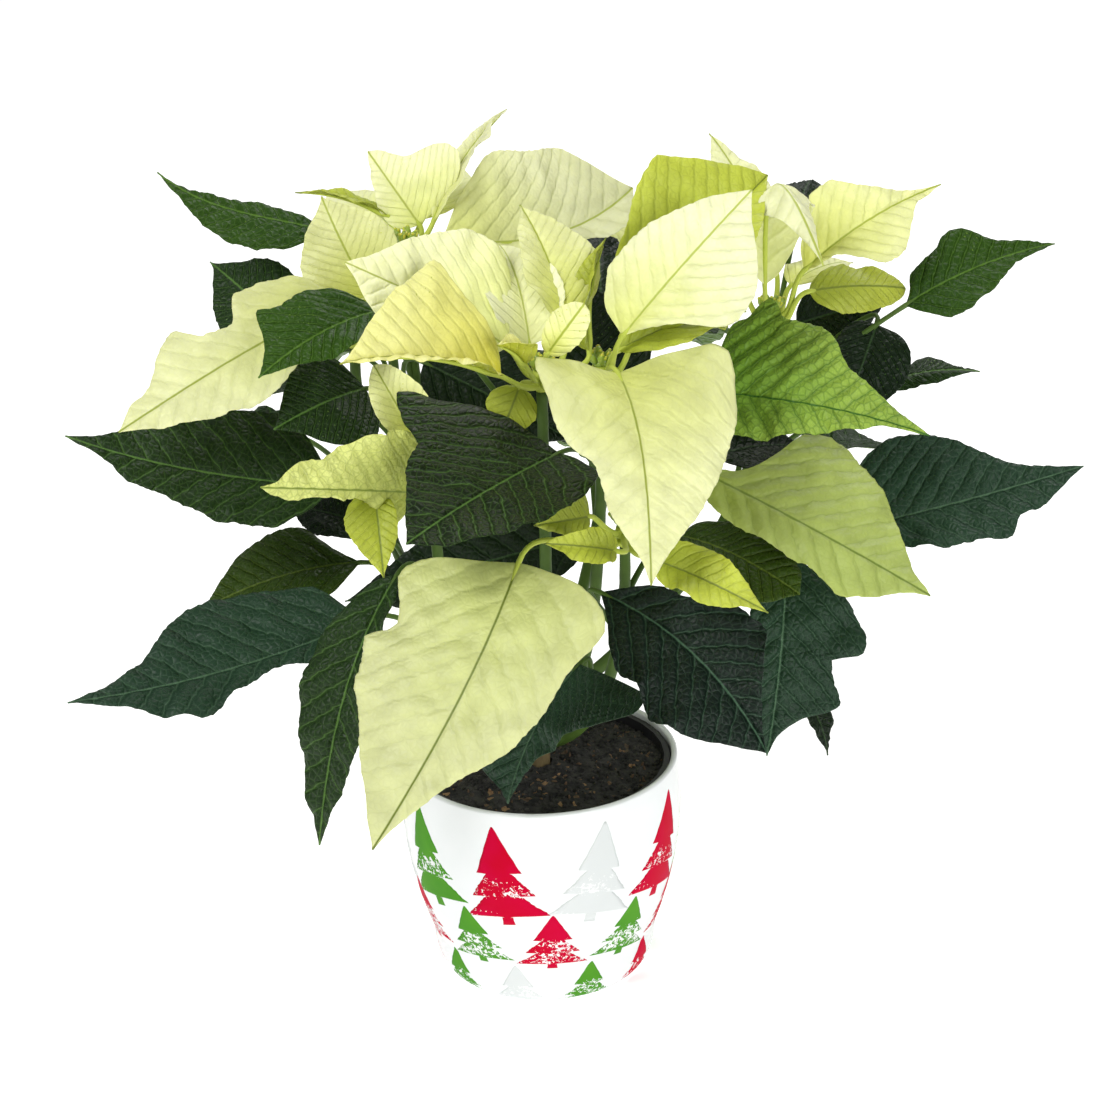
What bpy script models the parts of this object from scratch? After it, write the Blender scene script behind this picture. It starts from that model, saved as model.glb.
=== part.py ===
"""A poinsettia with cream-yellow bracts in a white printed cover pot.

The plant is one woody stem with nine leafy shoots. Each shoot ends in a ring of coloured
bracts round a cluster of small flower buds. It grows in soil in a thin black grower pot,
which stands in the cover pot. All sizes below are in millimetres: X runs to the right,
Y away from the front, Z up, and the origin is the middle of the cover pot's underside.
"""
import math

import bmesh
import bpy
import numpy as np

MM = 0.001
GAP = 0.3

for old in list(bpy.data.objects):
    bpy.data.objects.remove(old, do_unlink=True)


def linear(channel):
    """One sRGB channel, 0 to 255, as a linear value."""
    value = channel / 255
    return value / 12.92 if value <= 0.04045 else ((value + 0.055) / 1.055) ** 2.4


def finish(name, colour, roughness):
    """A plain coloured material from an sRGB triple."""
    material = bpy.data.materials.new(name)
    material.use_nodes = True
    shader = material.node_tree.nodes["Principled BSDF"]
    shader.inputs["Base Color"].default_value = (*(linear(c) for c in colour), 1)
    shader.inputs["Roughness"].default_value = roughness
    return material


GLAZE = finish("white_glaze", (240, 240, 238), 0.25)
BLACK_PLASTIC = finish("black_plastic", (24, 24, 26), 0.5)
SOIL = finish("potting_soil", (40, 30, 24), 0.95)
WOOD = finish("stem_wood", (96, 84, 52), 0.7)
LEAF_GREEN = finish("leaf_green", (42, 68, 48), 0.5)
BRACT_CREAM = finish("bract_cream", (228, 232, 150), 0.55)
BUD_YELLOW = finish("bud_yellow", (190, 200, 60), 0.5)


def place(name, bm, material, smooth_angle=40):
    """Closes a bmesh in millimetres into an object in metres."""
    bmesh.ops.recalc_face_normals(bm, faces=bm.faces)
    bmesh.ops.scale(bm, vec=(MM, MM, MM), verts=bm.verts)
    mesh = bpy.data.meshes.new(name)
    bm.to_mesh(mesh)
    bm.free()
    mesh.materials.append(material)
    mesh.shade_smooth()
    mesh.set_sharp_from_angle(angle=math.radians(smooth_angle))
    thing = bpy.data.objects.new(name, mesh)
    bpy.context.scene.collection.objects.link(thing)
    return thing


def turned(outline, sides):
    """A bmesh turned about Z from an outline of (radius, height) points that ends on the axis."""
    bm = bmesh.new()
    verts = [bm.verts.new((r, 0, z)) for r, z in outline]
    edges = [bm.edges.new(pair) for pair in zip(verts, verts[1:])]
    bmesh.ops.spin(bm, geom=verts + edges, cent=(0, 0, 0), axis=(0, 0, 1),
                   angle=math.tau, steps=sides, use_merge=True)
    bmesh.ops.remove_doubles(bm, verts=bm.verts, dist=0.001)
    return bm


# Cover pot: thrown and glazed earthenware, widest just under the rim, with a rounded foot
POT_HEIGHT = 112.0
POT_FOOT = 46.5
POT_SHOULDER = (55.0, 21.0)
POT_RIM = 67.0
POT_BELLY = 5.7
POT_WALL = 3.2
POT_FLOOR = 4.0
POT_SIDES = 32


def pot_radius(z):
    """Outer radius of the cover pot at a height."""
    radius, height = POT_SHOULDER
    if z < height:
        return POT_FOOT + (radius - POT_FOOT) * math.sqrt(max(0.0, 1 - (1 - z / height) ** 2))
    t = (z - height) / (POT_HEIGHT - height)
    return radius + (POT_RIM - radius) * t + POT_BELLY * 4 * t * (1 - t)


def cover_pot():
    shoulder = POT_SHOULDER[1]
    rise = [shoulder * (1 - math.cos(math.radians(a))) for a in (0, 30, 60, 90)]
    wall = [shoulder + (POT_HEIGHT - POT_WALL / 2 - shoulder) * k / 3 for k in range(1, 4)]
    outer = [(pot_radius(z), z) for z in rise + wall]
    rim_middle = pot_radius(wall[-1]) - POT_WALL / 2
    rim = [(rim_middle + POT_WALL / 2 * math.cos(math.radians(a)),
            wall[-1] + POT_WALL / 2 * math.sin(math.radians(a))) for a in (45, 90, 135)]
    inner = [(pot_radius(z) - POT_WALL, z) for z in reversed(rise[2:] + wall)]
    inner.append((POT_FOOT - POT_WALL, POT_FLOOR))
    outline = [(0, 0)] + outer + rim + inner + [(0, POT_FLOOR)]
    place("cover_pot", turned(outline, POT_SIDES), GLAZE)


cover_pot()

# Grower pot: thin black plastic with a rolled lip and four drain holes, on the cover pot's floor
GROWER_FOOT = 43.0
GROWER_RIM = 61.9
GROWER_WALL = 1.2
GROWER_BASE = POT_FLOOR + GAP
GROWER_TOP = 109.0
GROWER_LIP = (1.6, 6.0)
GROWER_SIDES = 32
DRAIN_RADIUS = 3.5
DRAIN_CIRCLE = 26.0


def grower_radius(z):
    """Outer radius of the grower pot's tapered wall at a height."""
    t = (z - GROWER_BASE) / (GROWER_TOP - GROWER_BASE)
    return GROWER_FOOT + (GROWER_RIM - GROWER_FOOT) * t


def grower_pot():
    proud, deep = GROWER_LIP
    lip_low = GROWER_TOP - deep
    floor = GROWER_BASE + GROWER_WALL
    outline = [(0, GROWER_BASE), (GROWER_FOOT, GROWER_BASE),
               (grower_radius(lip_low), lip_low), (grower_radius(lip_low) + proud, lip_low),
               (GROWER_RIM + proud, GROWER_TOP), (GROWER_RIM - GROWER_WALL, GROWER_TOP),
               (grower_radius(floor) - GROWER_WALL, floor), (0, floor)]
    pot = place("grower_pot", turned(outline, GROWER_SIDES), BLACK_PLASTIC)
    for k in range(4):
        angle = math.tau * (k + 0.5) / 4
        bm = bmesh.new()
        bmesh.ops.create_cone(bm, cap_ends=True, segments=10, radius1=DRAIN_RADIUS,
                              radius2=DRAIN_RADIUS, depth=6)
        bmesh.ops.translate(bm, verts=bm.verts, vec=(DRAIN_CIRCLE * math.cos(angle),
                                                     DRAIN_CIRCLE * math.sin(angle), GROWER_BASE))
        drill = place("drain_%d" % k, bm, BLACK_PLASTIC)
        drill.hide_render = True
        drill.display_type = "WIRE"
        cut = pot.modifiers.new("drain_%d" % k, "BOOLEAN")
        cut.object = drill


grower_pot()

# Main stem: woody, cut at the top, with one short stub for each shoot
STEM_BOTTOM = 66.0
STEM_TOP = 152.0
STEM_RADIUS = (5.6, 4.6)
STEM_SIDES = 10
STUB_RADIUS = 3.3
STUB_REACH = 15.0

# Potting soil: fills the grower pot, with a plain hole that the stem stands in
SOIL_TOP = 104.0
SOIL_DOME = 3.0
SOIL_BUMP = 1.3
SOIL_SIDES = 28


def potting_soil():
    bottom = GROWER_BASE + GROWER_WALL + GAP
    inside = GROWER_WALL + GAP
    hole = STEM_RADIUS[0] + GAP
    edge = grower_radius(SOIL_TOP) - inside
    rings = [hole + (edge - hole) * k / 6 for k in range(7)]
    outline = [(0, STEM_BOTTOM - GAP), (hole, STEM_BOTTOM - GAP)]
    outline += [(r, SOIL_TOP + SOIL_DOME * (1 - (r / edge) ** 2)) for r in rings]
    outline += [(grower_radius(bottom) - inside, bottom), (0, bottom)]
    bm = turned(outline, SOIL_SIDES)
    for vert in bm.verts:
        radius = math.hypot(vert.co.x, vert.co.y)
        if vert.co.z > SOIL_TOP - 1 and hole + 1 < radius < edge - 1:
            vert.co.z += SOIL_BUMP * (math.sin(vert.co.x * 0.31 + 2 * math.sin(vert.co.y * 0.17))
                                      + math.sin(vert.co.y * 0.27 + vert.co.x * 0.11))
    bmesh.ops.triangulate(bm, faces=bm.faces)
    place("soil", bm, SOIL)


potting_soil()

# One leaf or bract blade: a curved midrib, a width on each side that follows a formula with
# lobes added, and a cross-section that folds at the midrib and cups towards the edges
BLADE_THICKNESS = 0.8
BLADE_NARROWEST = 0.8
SMALL_HALF = 26
NEARLY_STRAIGHT = 2.4
STALK_RADIUS = (1.7, 1.4)
PLAIN = dict(looks=(0, 0, 1), rise=(0.12, 0.10), sway=(0, 0), fold=(8, 8), cup=(0, 0), wave=0,
             heart=0, lobes=(), peak=0.38, full=0.6, taper=1.25, profile=())


def of_side(value, side):
    """A value that is given once, or once for each side of the midrib."""
    return value[side] if isinstance(value, tuple) else value


def smooth_through(places, widths, u):
    """Widths at u on a smooth curve through the given ones that doesn't swing past them."""
    places, widths = np.array(places, float), np.array(widths, float)
    gaps = np.diff(places)
    slopes = np.diff(widths) / gaps
    turns = np.concatenate([slopes[:1], np.zeros(len(slopes) - 1), slopes[-1:]])
    for k in range(1, len(slopes)):
        if slopes[k - 1] * slopes[k] > 0:
            turns[k] = 2 * slopes[k - 1] * slopes[k] / (slopes[k - 1] + slopes[k])
    k = np.clip(np.searchsorted(places, u, side="right") - 1, 0, len(gaps) - 1)
    t = (u - places[k]) / gaps[k]
    return ((1 + 2 * t) * (1 - t) ** 2 * widths[k] + t * (1 - t) ** 2 * gaps[k] * turns[k]
            + t ** 2 * (3 - 2 * t) * widths[k + 1] - t ** 2 * (1 - t) * gaps[k] * turns[k + 1])


def half_width(shape, side, u):
    """Distance from the midrib to the edge at the fractions u of the length."""
    if shape["profile"]:
        rows = [(0, 0, 0), *shape["profile"], (1, 0, 0)]
        width = smooth_through([row[0] for row in rows], [row[1 + side] for row in rows], u)
        return np.maximum(width, BLADE_NARROWEST)
    peak, full, taper, half = (of_side(shape[key], side) for key in ("peak", "full", "taper", "half"))
    rising = np.clip(u / peak, 0, 1)
    falling = np.clip((1 - u) / (1 - peak), 0, 1)
    swell = np.where(u < peak, (1 - (1 - rising) ** 2) ** full, np.sin(math.pi / 2 * falling) ** taper)
    for lobed_side, where, height, spread in shape["lobes"]:
        if lobed_side == side:
            swell = swell + height * np.exp(-np.abs((u - where) / spread) ** 1.5)
    return np.maximum(np.maximum(swell, 0) * half, BLADE_NARROWEST)


def unit(v):
    return v / np.linalg.norm(v, axis=-1, keepdims=True)


def midrib(shape, u):
    """Points, tangents, sideways and upward directions of the midrib at the fractions u."""
    base, tip = np.array(shape["base"], float), np.array(shape["tip"], float)
    chord = tip - base
    length = np.linalg.norm(chord)
    side = unit(np.cross(chord, np.array(shape["looks"], float)))
    up = unit(np.cross(side, chord))
    (near, far), (near_side, far_side) = shape["rise"], shape["sway"]
    p1 = base + chord * 0.34 + (up * near + side * near_side) * length
    p2 = base + chord * 0.68 + (up * far + side * far_side) * length
    w = u[:, None]
    points = (1 - w) ** 3 * base + 3 * (1 - w) ** 2 * w * p1 + 3 * (1 - w) * w ** 2 * p2 + w ** 3 * tip
    tangents = unit(3 * (1 - w) ** 2 * (p1 - base) + 6 * (1 - w) * w * (p2 - p1) + 3 * w ** 2 * (tip - p2))
    across = unit(np.cross(tangents, up))
    return points, tangents, across, np.cross(across, tangents)


def blade_grid(shape, u, v):
    """Middle surface of a blade as a grid of points, and the grid of its normals."""
    points, tangents, across, lift = midrib(shape, u)
    grid = np.repeat(points[:, None], len(v), axis=1)
    normals = np.zeros_like(grid)
    for column, reach in enumerate(v):
        for side, way in ((0, -1), (1, 1)):
            if reach * way < 0:
                continue
            width = half_width(shape, side, u)
            fold, cup = (math.radians(shape[key][side]) for key in ("fold", "cup"))
            steps = (np.arange(8) + 0.5) / 8 * abs(reach)
            out = np.cos(fold + cup * steps).mean() * reach * width
            height = np.sin(fold + cup * steps).mean() * abs(reach) * width
            ripple = np.sin(math.tau * (2 * u + 0.37 * side)) * np.sqrt(np.sin(math.pi * u))
            height += shape["wave"] * reach ** 2 * ripple
            back = of_side(shape["heart"], side) * reach ** 2 * np.sin(math.pi * np.clip(u / 0.3, 0, 1))
            slope = fold + cup * abs(reach)
            normals[:, column] += lift * math.cos(slope) - across * way * math.sin(slope)
            if reach != 0:
                grid[:, column] += across * out[:, None] + lift * height[:, None] - tangents * back[:, None]
    return grid, unit(normals)


def stations(shape):
    """Fractions of the length at which the blade has a row of points: more at its lobes.

    A row of a profile is left out where both edges run nearly straight past it.
    """
    if shape["profile"]:
        rows = [(0, 0, 0), *shape["profile"], (1, 0, 0)]
        kept = rows[:1]
        for row, after in zip(rows[1:], rows[2:]):
            before = kept[-1]
            share = (row[0] - before[0]) / (after[0] - before[0])
            bends = [abs(before[k] + (after[k] - before[k]) * share - row[k]) for k in (1, 2)]
            if max(bends) > NEARLY_STRAIGHT:
                kept.append(row)
        return np.array([*(row[0] for row in kept), 1])
    rows = [0, 0.08, 0.26, 0.5, 0.77, 1]
    if max(shape["half"]) < SMALL_HALF:
        rows = [0, 0.18, 0.5, 0.8, 1]
    for _, where, _, spread in shape["lobes"]:
        rows = [row for row in rows if abs(row - where) > spread * 0.7]
        rows += [where - spread * 0.6, where, where + spread * 0.6]
    return np.array(sorted(rows))


def curve(p0, p1, p2, p3, steps):
    """Points along a cubic curve with two end points and two handles."""
    w = np.linspace(0, 1, steps + 1)[:, None]
    p0, p1, p2, p3 = (np.array(p, float) for p in (p0, p1, p2, p3))
    return (1 - w) ** 3 * p0 + 3 * (1 - w) ** 2 * w * p1 + 3 * (1 - w) * w ** 2 * p2 + w ** 3 * p3


def leaf_solid(shape, start, outward):
    """A closed leaf or bract: a stalk from its start, and the thin blade that it widens into.

    Every ring of points has the upper face's columns from left to right, then the lower
    face's from right to left, so both faces of the blade are split into triangles alike.
    """
    flat = shape["cup"] == (0, 0) and not shape["wave"] and not shape["heart"]
    columns = 3 if flat else 5
    grid, normals = blade_grid(shape, stations(shape), np.linspace(-1, 1, columns))
    half = normals * BLADE_THICKNESS / 2
    blade = np.concatenate([grid + half, (grid - half)[:, ::-1]], axis=1)

    points, tangents, across, _ = midrib(shape, np.array((0.0, 0.05)))
    length = np.linalg.norm(points[0] - start)
    path = curve(start, start + unit(outward) * length * 0.35, points[0] - tangents[0] * length * 0.35,
                 points[0], 3 if length > 20 else 2)[:-1]
    ways = unit(np.gradient(np.vstack([path, points[:1]]), axis=0))[:-1]
    upper = np.radians(np.linspace(150, 30, columns))
    angles = np.concatenate([upper, -upper[::-1]])
    side, stalk = across[0], []
    for point, way, radius in reversed(list(zip(path, ways, np.linspace(*STALK_RADIUS, len(path))))):
        side = unit(side - way * np.dot(side, way))
        top = np.cross(side, way)
        stalk.insert(0, point + radius * (np.outer(np.cos(angles), side) + np.outer(np.sin(angles), top)))

    rings = np.concatenate([np.array(stalk), blade])
    size = 2 * columns
    faces = []
    for ring in range(len(rings) - 1):
        for k in range(size):
            a, b = ring * size + k, ring * size + (k + 1) % size
            c, d = b + size, a + size
            leans_in = k % columns < columns // 2
            faces += [(a, b, c), (a, c, d)] if leans_in else [(a, b, d), (b, c, d)]
    last = (len(rings) - 1) * size
    faces += [tuple(reversed(range(size))), tuple(range(last, last + size))]
    return rings.reshape(-1, 3), faces


def tube(path, radii, sides):
    """Vertices and faces of a closed round tube along a path of points."""
    path = np.array(path, float)
    tangents = unit(np.gradient(path, axis=0))
    start = np.array((0, 0, 1.0)) if abs(tangents[0][2]) < 0.8 else np.array((1.0, 0, 0))
    across = unit(np.cross(tangents[0], start))
    verts = []
    for point, tangent, radius in zip(path, tangents, radii):
        across = unit(across - tangent * np.dot(across, tangent))
        other = np.cross(tangent, across)
        for k in range(sides):
            angle = math.tau * k / sides
            verts.append(point + radius * (across * math.cos(angle) + other * math.sin(angle)))
    faces = []
    for ring in range(len(path) - 1):
        for k in range(sides):
            a, b = ring * sides + k, ring * sides + (k + 1) % sides
            faces.append((a, b, b + sides, a + sides))
    last = (len(path) - 1) * sides
    faces += [tuple(reversed(range(sides))), tuple(range(last, last + sides))]
    return np.array(verts), faces


# Flower heads: the point where each shoot's bracts meet, and the height of its stub on the stem
HEADS = {
    "a": ((6, -40, 325), 142),
    "b": ((-58, 64, 352), 138),
    "c": ((33, -22, 320), 140),
    "d": ((116, 46, 320), 131),
    "e": ((-82, 22, 326), 129),
    "f": ((42, -60, 256), 115),
    "g": ((-44, -60, 274), 121),
    "h": ((45, 125, 318), 123),
    "i": ((-70, 135, 296), 117),
}
BRACTS = {head: [] for head in HEADS}
LEAVES = {head: [] for head in HEADS}


def bract(head, name, base, tip, half, **shape):
    """Adds one bract: where its blade starts and ends, and its half width on each side.

    A profile, where there is one, holds rows of a place along the length and the two
    half widths there, and half is then only the widest.
    """
    BRACTS[head].append({**PLAIN, "name": name, "base": base, "tip": tip, "half": half, **shape})


def leaf(head, along, name, base, tip, half, **shape):
    """Adds one green leaf, with the fraction of the shoot at which its stalk starts."""
    LEAVES[head].append({**PLAIN, "name": name, "along": along, "base": base, "tip": tip,
                         "half": half, **shape})


FACING = (0, -1, 0.4)

bract("a", "back_left", (-9, -42, 337), (-79, -60, 385), (28, 47), fold=(-30, 45),
      rise=(0.04, 0.02),
      profile=((0.06, 8, 25), (0.12, 14, 38), (0.2, 20, 45), (0.3, 25, 47), (0.5, 28, 38), (0.7, 28, 24),
               (0.8, 23, 15), (0.9, 10, 7)))
bract("a", "front_left", (-12, -60, 330), (-80, -110, 356), (14, 33), fold=(10, 62),
      rise=(0.1, 0.08), lobes=[(1, 0.4, 0.35, 0.1), (1, 0.62, 0.12, 0.12)])
bract("a", "back", (1, -30, 333), (-12, 10, 368), (20, 20), fold=(25, 25), rise=(0.2, 0.25))
bract("a", "right", (18, -25, 343), (-2, 10, 387), (18, 22), fold=(20, 20))
bract("a", "sliver", (28, -25, 328), (37, -10, 377), (12, 12), fold=(40, 40), looks=(-1, -0.6, 0))
bract("a", "tongue", (9, -55, 338), (26, -60, 363), (9, 9), fold=(10, 10), taper=0.5, peak=0.6,
      looks=FACING)
bract("a", "curl", (-1, -60, 335), (-13, -70, 348), (11, 11), fold=(35, 35), cup=(20, 20))
bract("a", "low", (-4, -34, 315), (-14, -41, 292), (12, 12), looks=FACING)

bract("b", "left", (-51, 78, 357), (-75, 95, 389), (12, 36), fold=(10, 10), looks=FACING,
      profile=((0.06, 8, 15), (0.2, 12, 30), (0.4, 12, 36), (0.5, 10, 34), (0.6, 8, 28), (0.68, 7, 14),
               (0.8, 4, 9), (0.92, 2, 5)))
bract("b", "point", (-44, 75, 360), (-8, 120, 401), (6, 14), fold=(30, 35), taper=0.9)
bract("b", "right", (-40, 70, 352), (52, 90, 369), (44, 14), fold=(70, -50), rise=(-0.14, -0.2),
      profile=((0.06, 20, 5), (0.12, 30, 6), (0.2, 41, 7), (0.3, 44, 7), (0.5, 42, 7), (0.7, 40, 8),
               (0.8, 37, 13), (0.9, 26, 12)))
bract("b", "low_left", (-74, 40, 335), (-96, 60, 378), (24, 26), fold=(10, 10),
      looks=(-0.3, -1, 0.5))
bract("b", "spike", (-66, 78, 362), (-110, 80, 374), (5, 5), fold=(20, 20))
bract("b", "behind", (-50, 86, 357), (-30, 130, 368), (18, 18))
bract("b", "behind_left", (-64, 82, 354), (-98, 125, 358), (20, 20))

bract("c", "face", (43, -40, 340), (102, -30, 404), (25, 38), fold=(12, 12),
      looks=(-0.3, -1, 0.4), rise=(0.08, 0.05),
      profile=((0.06, 14, 3), (0.14, 20, 8), (0.25, 25, 17), (0.4, 25, 34), (0.5, 24, 38), (0.6, 21, 36),
               (0.7, 17, 30), (0.8, 13, 20), (0.9, 7, 8)))
bract("c", "behind", (51, -20, 336), (113, 30, 392), (45, 26), fold=(30, 20),
      looks=(-0.2, -1, 0.6),
      profile=((0.06, 17, 12), (0.2, 30, 23), (0.3, 34, 26), (0.5, 43, 24), (0.6, 45, 22), (0.7, 35, 18),
               (0.8, 24, 12), (0.9, 13, 6)))
bract("c", "cup", (41, -34, 331), (101, 0, 336), (14, 22), fold=(30, 30), looks=(0, -0.6, 1))
bract("c", "front", (40, -66, 332), (51, -150, 266), (51, 39), fold=(8, 26), cup=(-20, -30),
      rise=(0.18, 0.08), heart=26, sway=(-0.05, -0.03),
      profile=((0.06, 20, 14), (0.12, 44, 34), (0.2, 51, 39), (0.3, 46, 38), (0.4, 41, 33), (0.5, 36, 23),
               (0.6, 30, 20), (0.7, 23, 18), (0.8, 14, 11), (0.9, 6, 4)))

bract("d", "arch", (112, 35, 337), (135, -20, 364), (22, 22), fold=(-35, -35), rise=(0.95, 0.8))
bract("d", "right", (131, 40, 342), (197, 60, 376), (26, 25), fold=(45, -10),
      looks=(0, -0.5, 1),
      profile=((0.06, 8, 3), (0.2, 18, 5), (0.3, 26, 13), (0.4, 26, 23), (0.5, 19, 25), (0.6, 13, 20),
               (0.7, 7, 12), (0.8, 3, 4), (0.9, 1, 2)))
bract("d", "low_right", (133, 38, 332), (180, 50, 328), (13, 13), fold=(-10, -10), taper=0.5,
      looks=(0, -0.8, 0.8))
bract("d", "back", (119, 60, 336), (90, 110, 389), (20, 14), fold=(10, 10))
bract("d", "behind", (126, 56, 329), (158, 84, 330), (14, 14))
bract("d", "behind_left", (103, 52, 328), (78, 82, 340), (16, 16))

bract("e", "big", (-86, 5, 344), (-187, -40, 300), (28, 31), fold=(-5, 5), rise=(0.05, 0.03),
      looks=(-0.2, -0.6, 0.9),
      profile=((0.06, 7, 22), (0.12, 10, 27), (0.2, 15, 30), (0.32, 22, 31), (0.4, 27, 18), (0.5, 28, 19),
               (0.6, 24, 31), (0.7, 20, 23), (0.8, 14, 12), (0.9, 7, 8)))
bract("e", "behind", (-94, 30, 329), (-94, 80, 316), (14, 14))
bract("e", "inner", (-72, 26, 331), (-58, 50, 322), (12, 12))

bract("f", "big", (-6, -120, 265), (-72, -185, 160), (47, 52), fold=(4, 4), cup=(-12, -12),
      rise=(0.14, 0.1), sway=(-0.1, -0.07), looks=(0, -0.5, 1), heart=12,
      profile=((0.06, 20, 22), (0.12, 35, 42), (0.2, 47, 51), (0.3, 39, 43), (0.4, 37, 52), (0.5, 33, 50),
               (0.6, 25, 45), (0.7, 15, 36), (0.8, 9, 27), (0.9, 3, 14)))
bract("f", "up", (26, -72, 266), (1, -95, 272), (8, 17), looks=FACING, wave=2)
bract("f", "curl", (37, -105, 263), (6, -125, 276), (9, 9), fold=(25, 25), cup=(15, 15),
      taper=0.8, looks=(0, -1, 0.6))
bract("f", "curl_right", (54, -105, 258), (102, -140, 247), (14, 12), fold=(10, 20),
      looks=(0, -1, 0.8), wave=3)
bract("f", "right", (72, -60, 284), (177, -100, 235), (53, 23), fold=(-5, -5), rise=(0.03, 0.02),
      looks=(0, -0.5, 0.9),
      profile=((0.12, 8, 12), (0.2, 17, 16), (0.3, 49, 17), (0.4, 53, 17), (0.5, 49, 18), (0.6, 43, 19),
               (0.7, 35, 23), (0.8, 20, 17), (0.9, 8, 6)))

bract("g", "crinkle", (-50, -70, 279), (-117, -115, 302), (18, 29), fold=(-30, 25),
      rise=(0.06, 0.02), wave=3, looks=(-0.2, -1, 0.5),
      profile=((0.06, 14, 17), (0.12, 18, 27), (0.2, 15, 29), (0.3, 8, 28), (0.4, 4, 27), (0.5, 4, 22),
               (0.7, 5, 14), (0.8, 5, 11), (0.9, 4, 4)))
bract("g", "hang", (-70, -77, 283), (-66, -105, 253), (9, 15), looks=(0.1, -1, 0.4), fold=(10, 10))
bract("g", "back", (-52, -48, 298), (-70, -31, 326), (12, 16), looks=FACING, fold=(30, 30),
      full=0.4, taper=0.8)
bract("g", "inner", (-38, -46, 288), (-10, -48, 290), (14, 14))

bract("h", "right", (56, 130, 322), (110, 165, 330), (22, 22))
bract("h", "back_right", (50, 137, 322), (85, 205, 316), (24, 24))
bract("h", "back", (38, 138, 322), (25, 210, 308), (24, 24))
bract("h", "left", (33, 128, 322), (-18, 165, 320), (20, 20))
bract("h", "front", (55, 116, 320), (95, 95, 310), (15, 15))

bract("i", "left", (-81, 138, 299), (-125, 165, 299), (20, 20))
bract("i", "back_left", (-76, 146, 299), (-105, 210, 297), (24, 24))
bract("i", "back", (-66, 147, 299), (-55, 212, 294), (24, 24))
bract("i", "right", (-60, 140, 299), (-12, 175, 298), (20, 20))
bract("i", "front", (-62, 127, 298), (-25, 100, 290), (14, 14))

leaf("a", 0.85, "over", (-67, -20, 348), (-120, -60, 332), (18, 26), fold=(0, 10),
     lobes=[(1, 0.68, 0.45, 0.08)], looks=(-0.2, -0.5, 1))
leaf("b", 0.75, "top_left", (-98, 60, 362), (-174, 70, 389), (22, 8), fold=(-25, 30),
     rise=(-0.04, -0.14), taper=1.6, peak=0.35)
leaf("b", 0.7, "gap", (35, 60, 323), (36, 120, 336), (15, 15))
leaf("b", 0.6, "back_left", (-88, 105, 284), (-150, 150, 268), (24, 24))
leaf("b", 0.5, "inner", (-50, 34, 303), (20, 26, 264), (24, 24), looks=(0, -1, 0.5))
leaf("c", 0.8, "centre", (13, -62, 293), (-53, -152, 289), (36, 68), heart=12,
     rise=(0.03, 0.04), looks=(-0.1, -0.6, 1),
     profile=((0.06, 14, 18), (0.12, 22, 33), (0.2, 29, 47), (0.32, 34, 68), (0.4, 36, 58),
              (0.5, 34, 39), (0.6, 32, 35), (0.75, 25, 23), (0.9, 14, 9)))
leaf("c", 0.75, "under", (85, -30, 277), (129, 0, 267), (15, 18), looks=(0, -0.6, 1))
leaf("c", 0.35, "inner", (26, 14, 220), (-90, -16, 202), (22, 22), peak=0.45, looks=(0, -1, 0.5))
leaf("c", 0.7, "inner_high", (30, 18, 290), (30, 40, 338), (20, 28), looks=(0, -1, 0.5))
leaf("d", 0.8, "right_top", (179, 40, 323), (252, 60, 345), (24, 22), looks=(0, -0.6, 1),
     profile=((0.06, 5, 9), (0.12, 13, 15), (0.2, 15, 21), (0.3, 18, 22), (0.4, 23, 19), (0.47, 24, 16),
              (0.6, 14, 11), (0.7, 9, 6), (0.8, 6, 3), (0.9, 3, 2)))
leaf("d", 0.72, "bright", (80, -15, 303), (180, -60, 296), (48, 21), fold=(10, 0),
     looks=(0, -0.8, 0.8), rise=(0.08, 0.12),
     profile=((0.06, 33, 16), (0.12, 37, 20), (0.2, 48, 21), (0.3, 38, 21), (0.42, 38, 18),
              (0.5, 34, 15), (0.6, 21, 11), (0.7, 15, 8), (0.8, 9, 2), (0.9, 4, 1.5)))
leaf("d", 0.85, "dark_right", (166, 45, 312), (148, 20, 275), (22, 16), looks=(0, -1, 0.5),
     full=0.4, taper=0.7)
leaf("d", 0.65, "thin", (168, 60, 274), (218, 60, 281), (13, 8), fold=(0, -30),
     lobes=[(0, 0.5, 0.5, 0.12)])
leaf("d", 0.5, "big_right", (142, -20, 233), (255, -30, 267), (41, 28), looks=(0, -0.6, 0.9),
     rise=(-0.03, -0.03),
     profile=((0.1, 25, 10), (0.2, 37, 16), (0.3, 41, 19), (0.4, 39, 24), (0.5, 34, 25), (0.6, 24, 26),
              (0.66, 18, 28), (0.72, 13, 17), (0.8, 8, 15), (0.9, 4, 8)))
leaf("d", 0.35, "lobed_right", (117, -40, 234), (106, -72, 143), (39, 17), looks=(0.2, -1, 0.4),
     profile=((0.06, 8, 8), (0.2, 27, 15), (0.3, 34, 17), (0.4, 39, 17), (0.46, 38, 17), (0.5, 24, 16),
              (0.6, 26, 14), (0.7, 30, 11), (0.74, 26, 10), (0.8, 13, 8), (0.9, 3, 4)))
leaf("d", 0.25, "peek", (125, -30, 156), (137, -40, 126), (8, 8))
leaf("d", 0.9, "gap_right", (133, 100, 352), (141, 130, 358), (10, 10))
leaf("d", 0.88, "inner_right", (130, 74, 303), (176, 82, 312), (16, 16), looks=(0, -1, 0.5))
leaf("d", 0.6, "back_right", (120, 110, 262), (150, 185, 235), (26, 26))
leaf("d", 0.4, "back_low", (140, 85, 232), (200, 160, 190), (25, 25))
leaf("e", 0.85, "left", (-112, 50, 312), (-154, 90, 337), (22, 22), fold=(5, 10),
     looks=(-0.3, -0.8, 0.8), taper=1.6)
leaf("e", 0.75, "lobed", (-76, -5, 305), (-117, -34, 297), (28, 24), looks=(-0.2, -0.8, 0.6),
     lobes=[(0, 0.4, 0.3, 0.1)])
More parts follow.
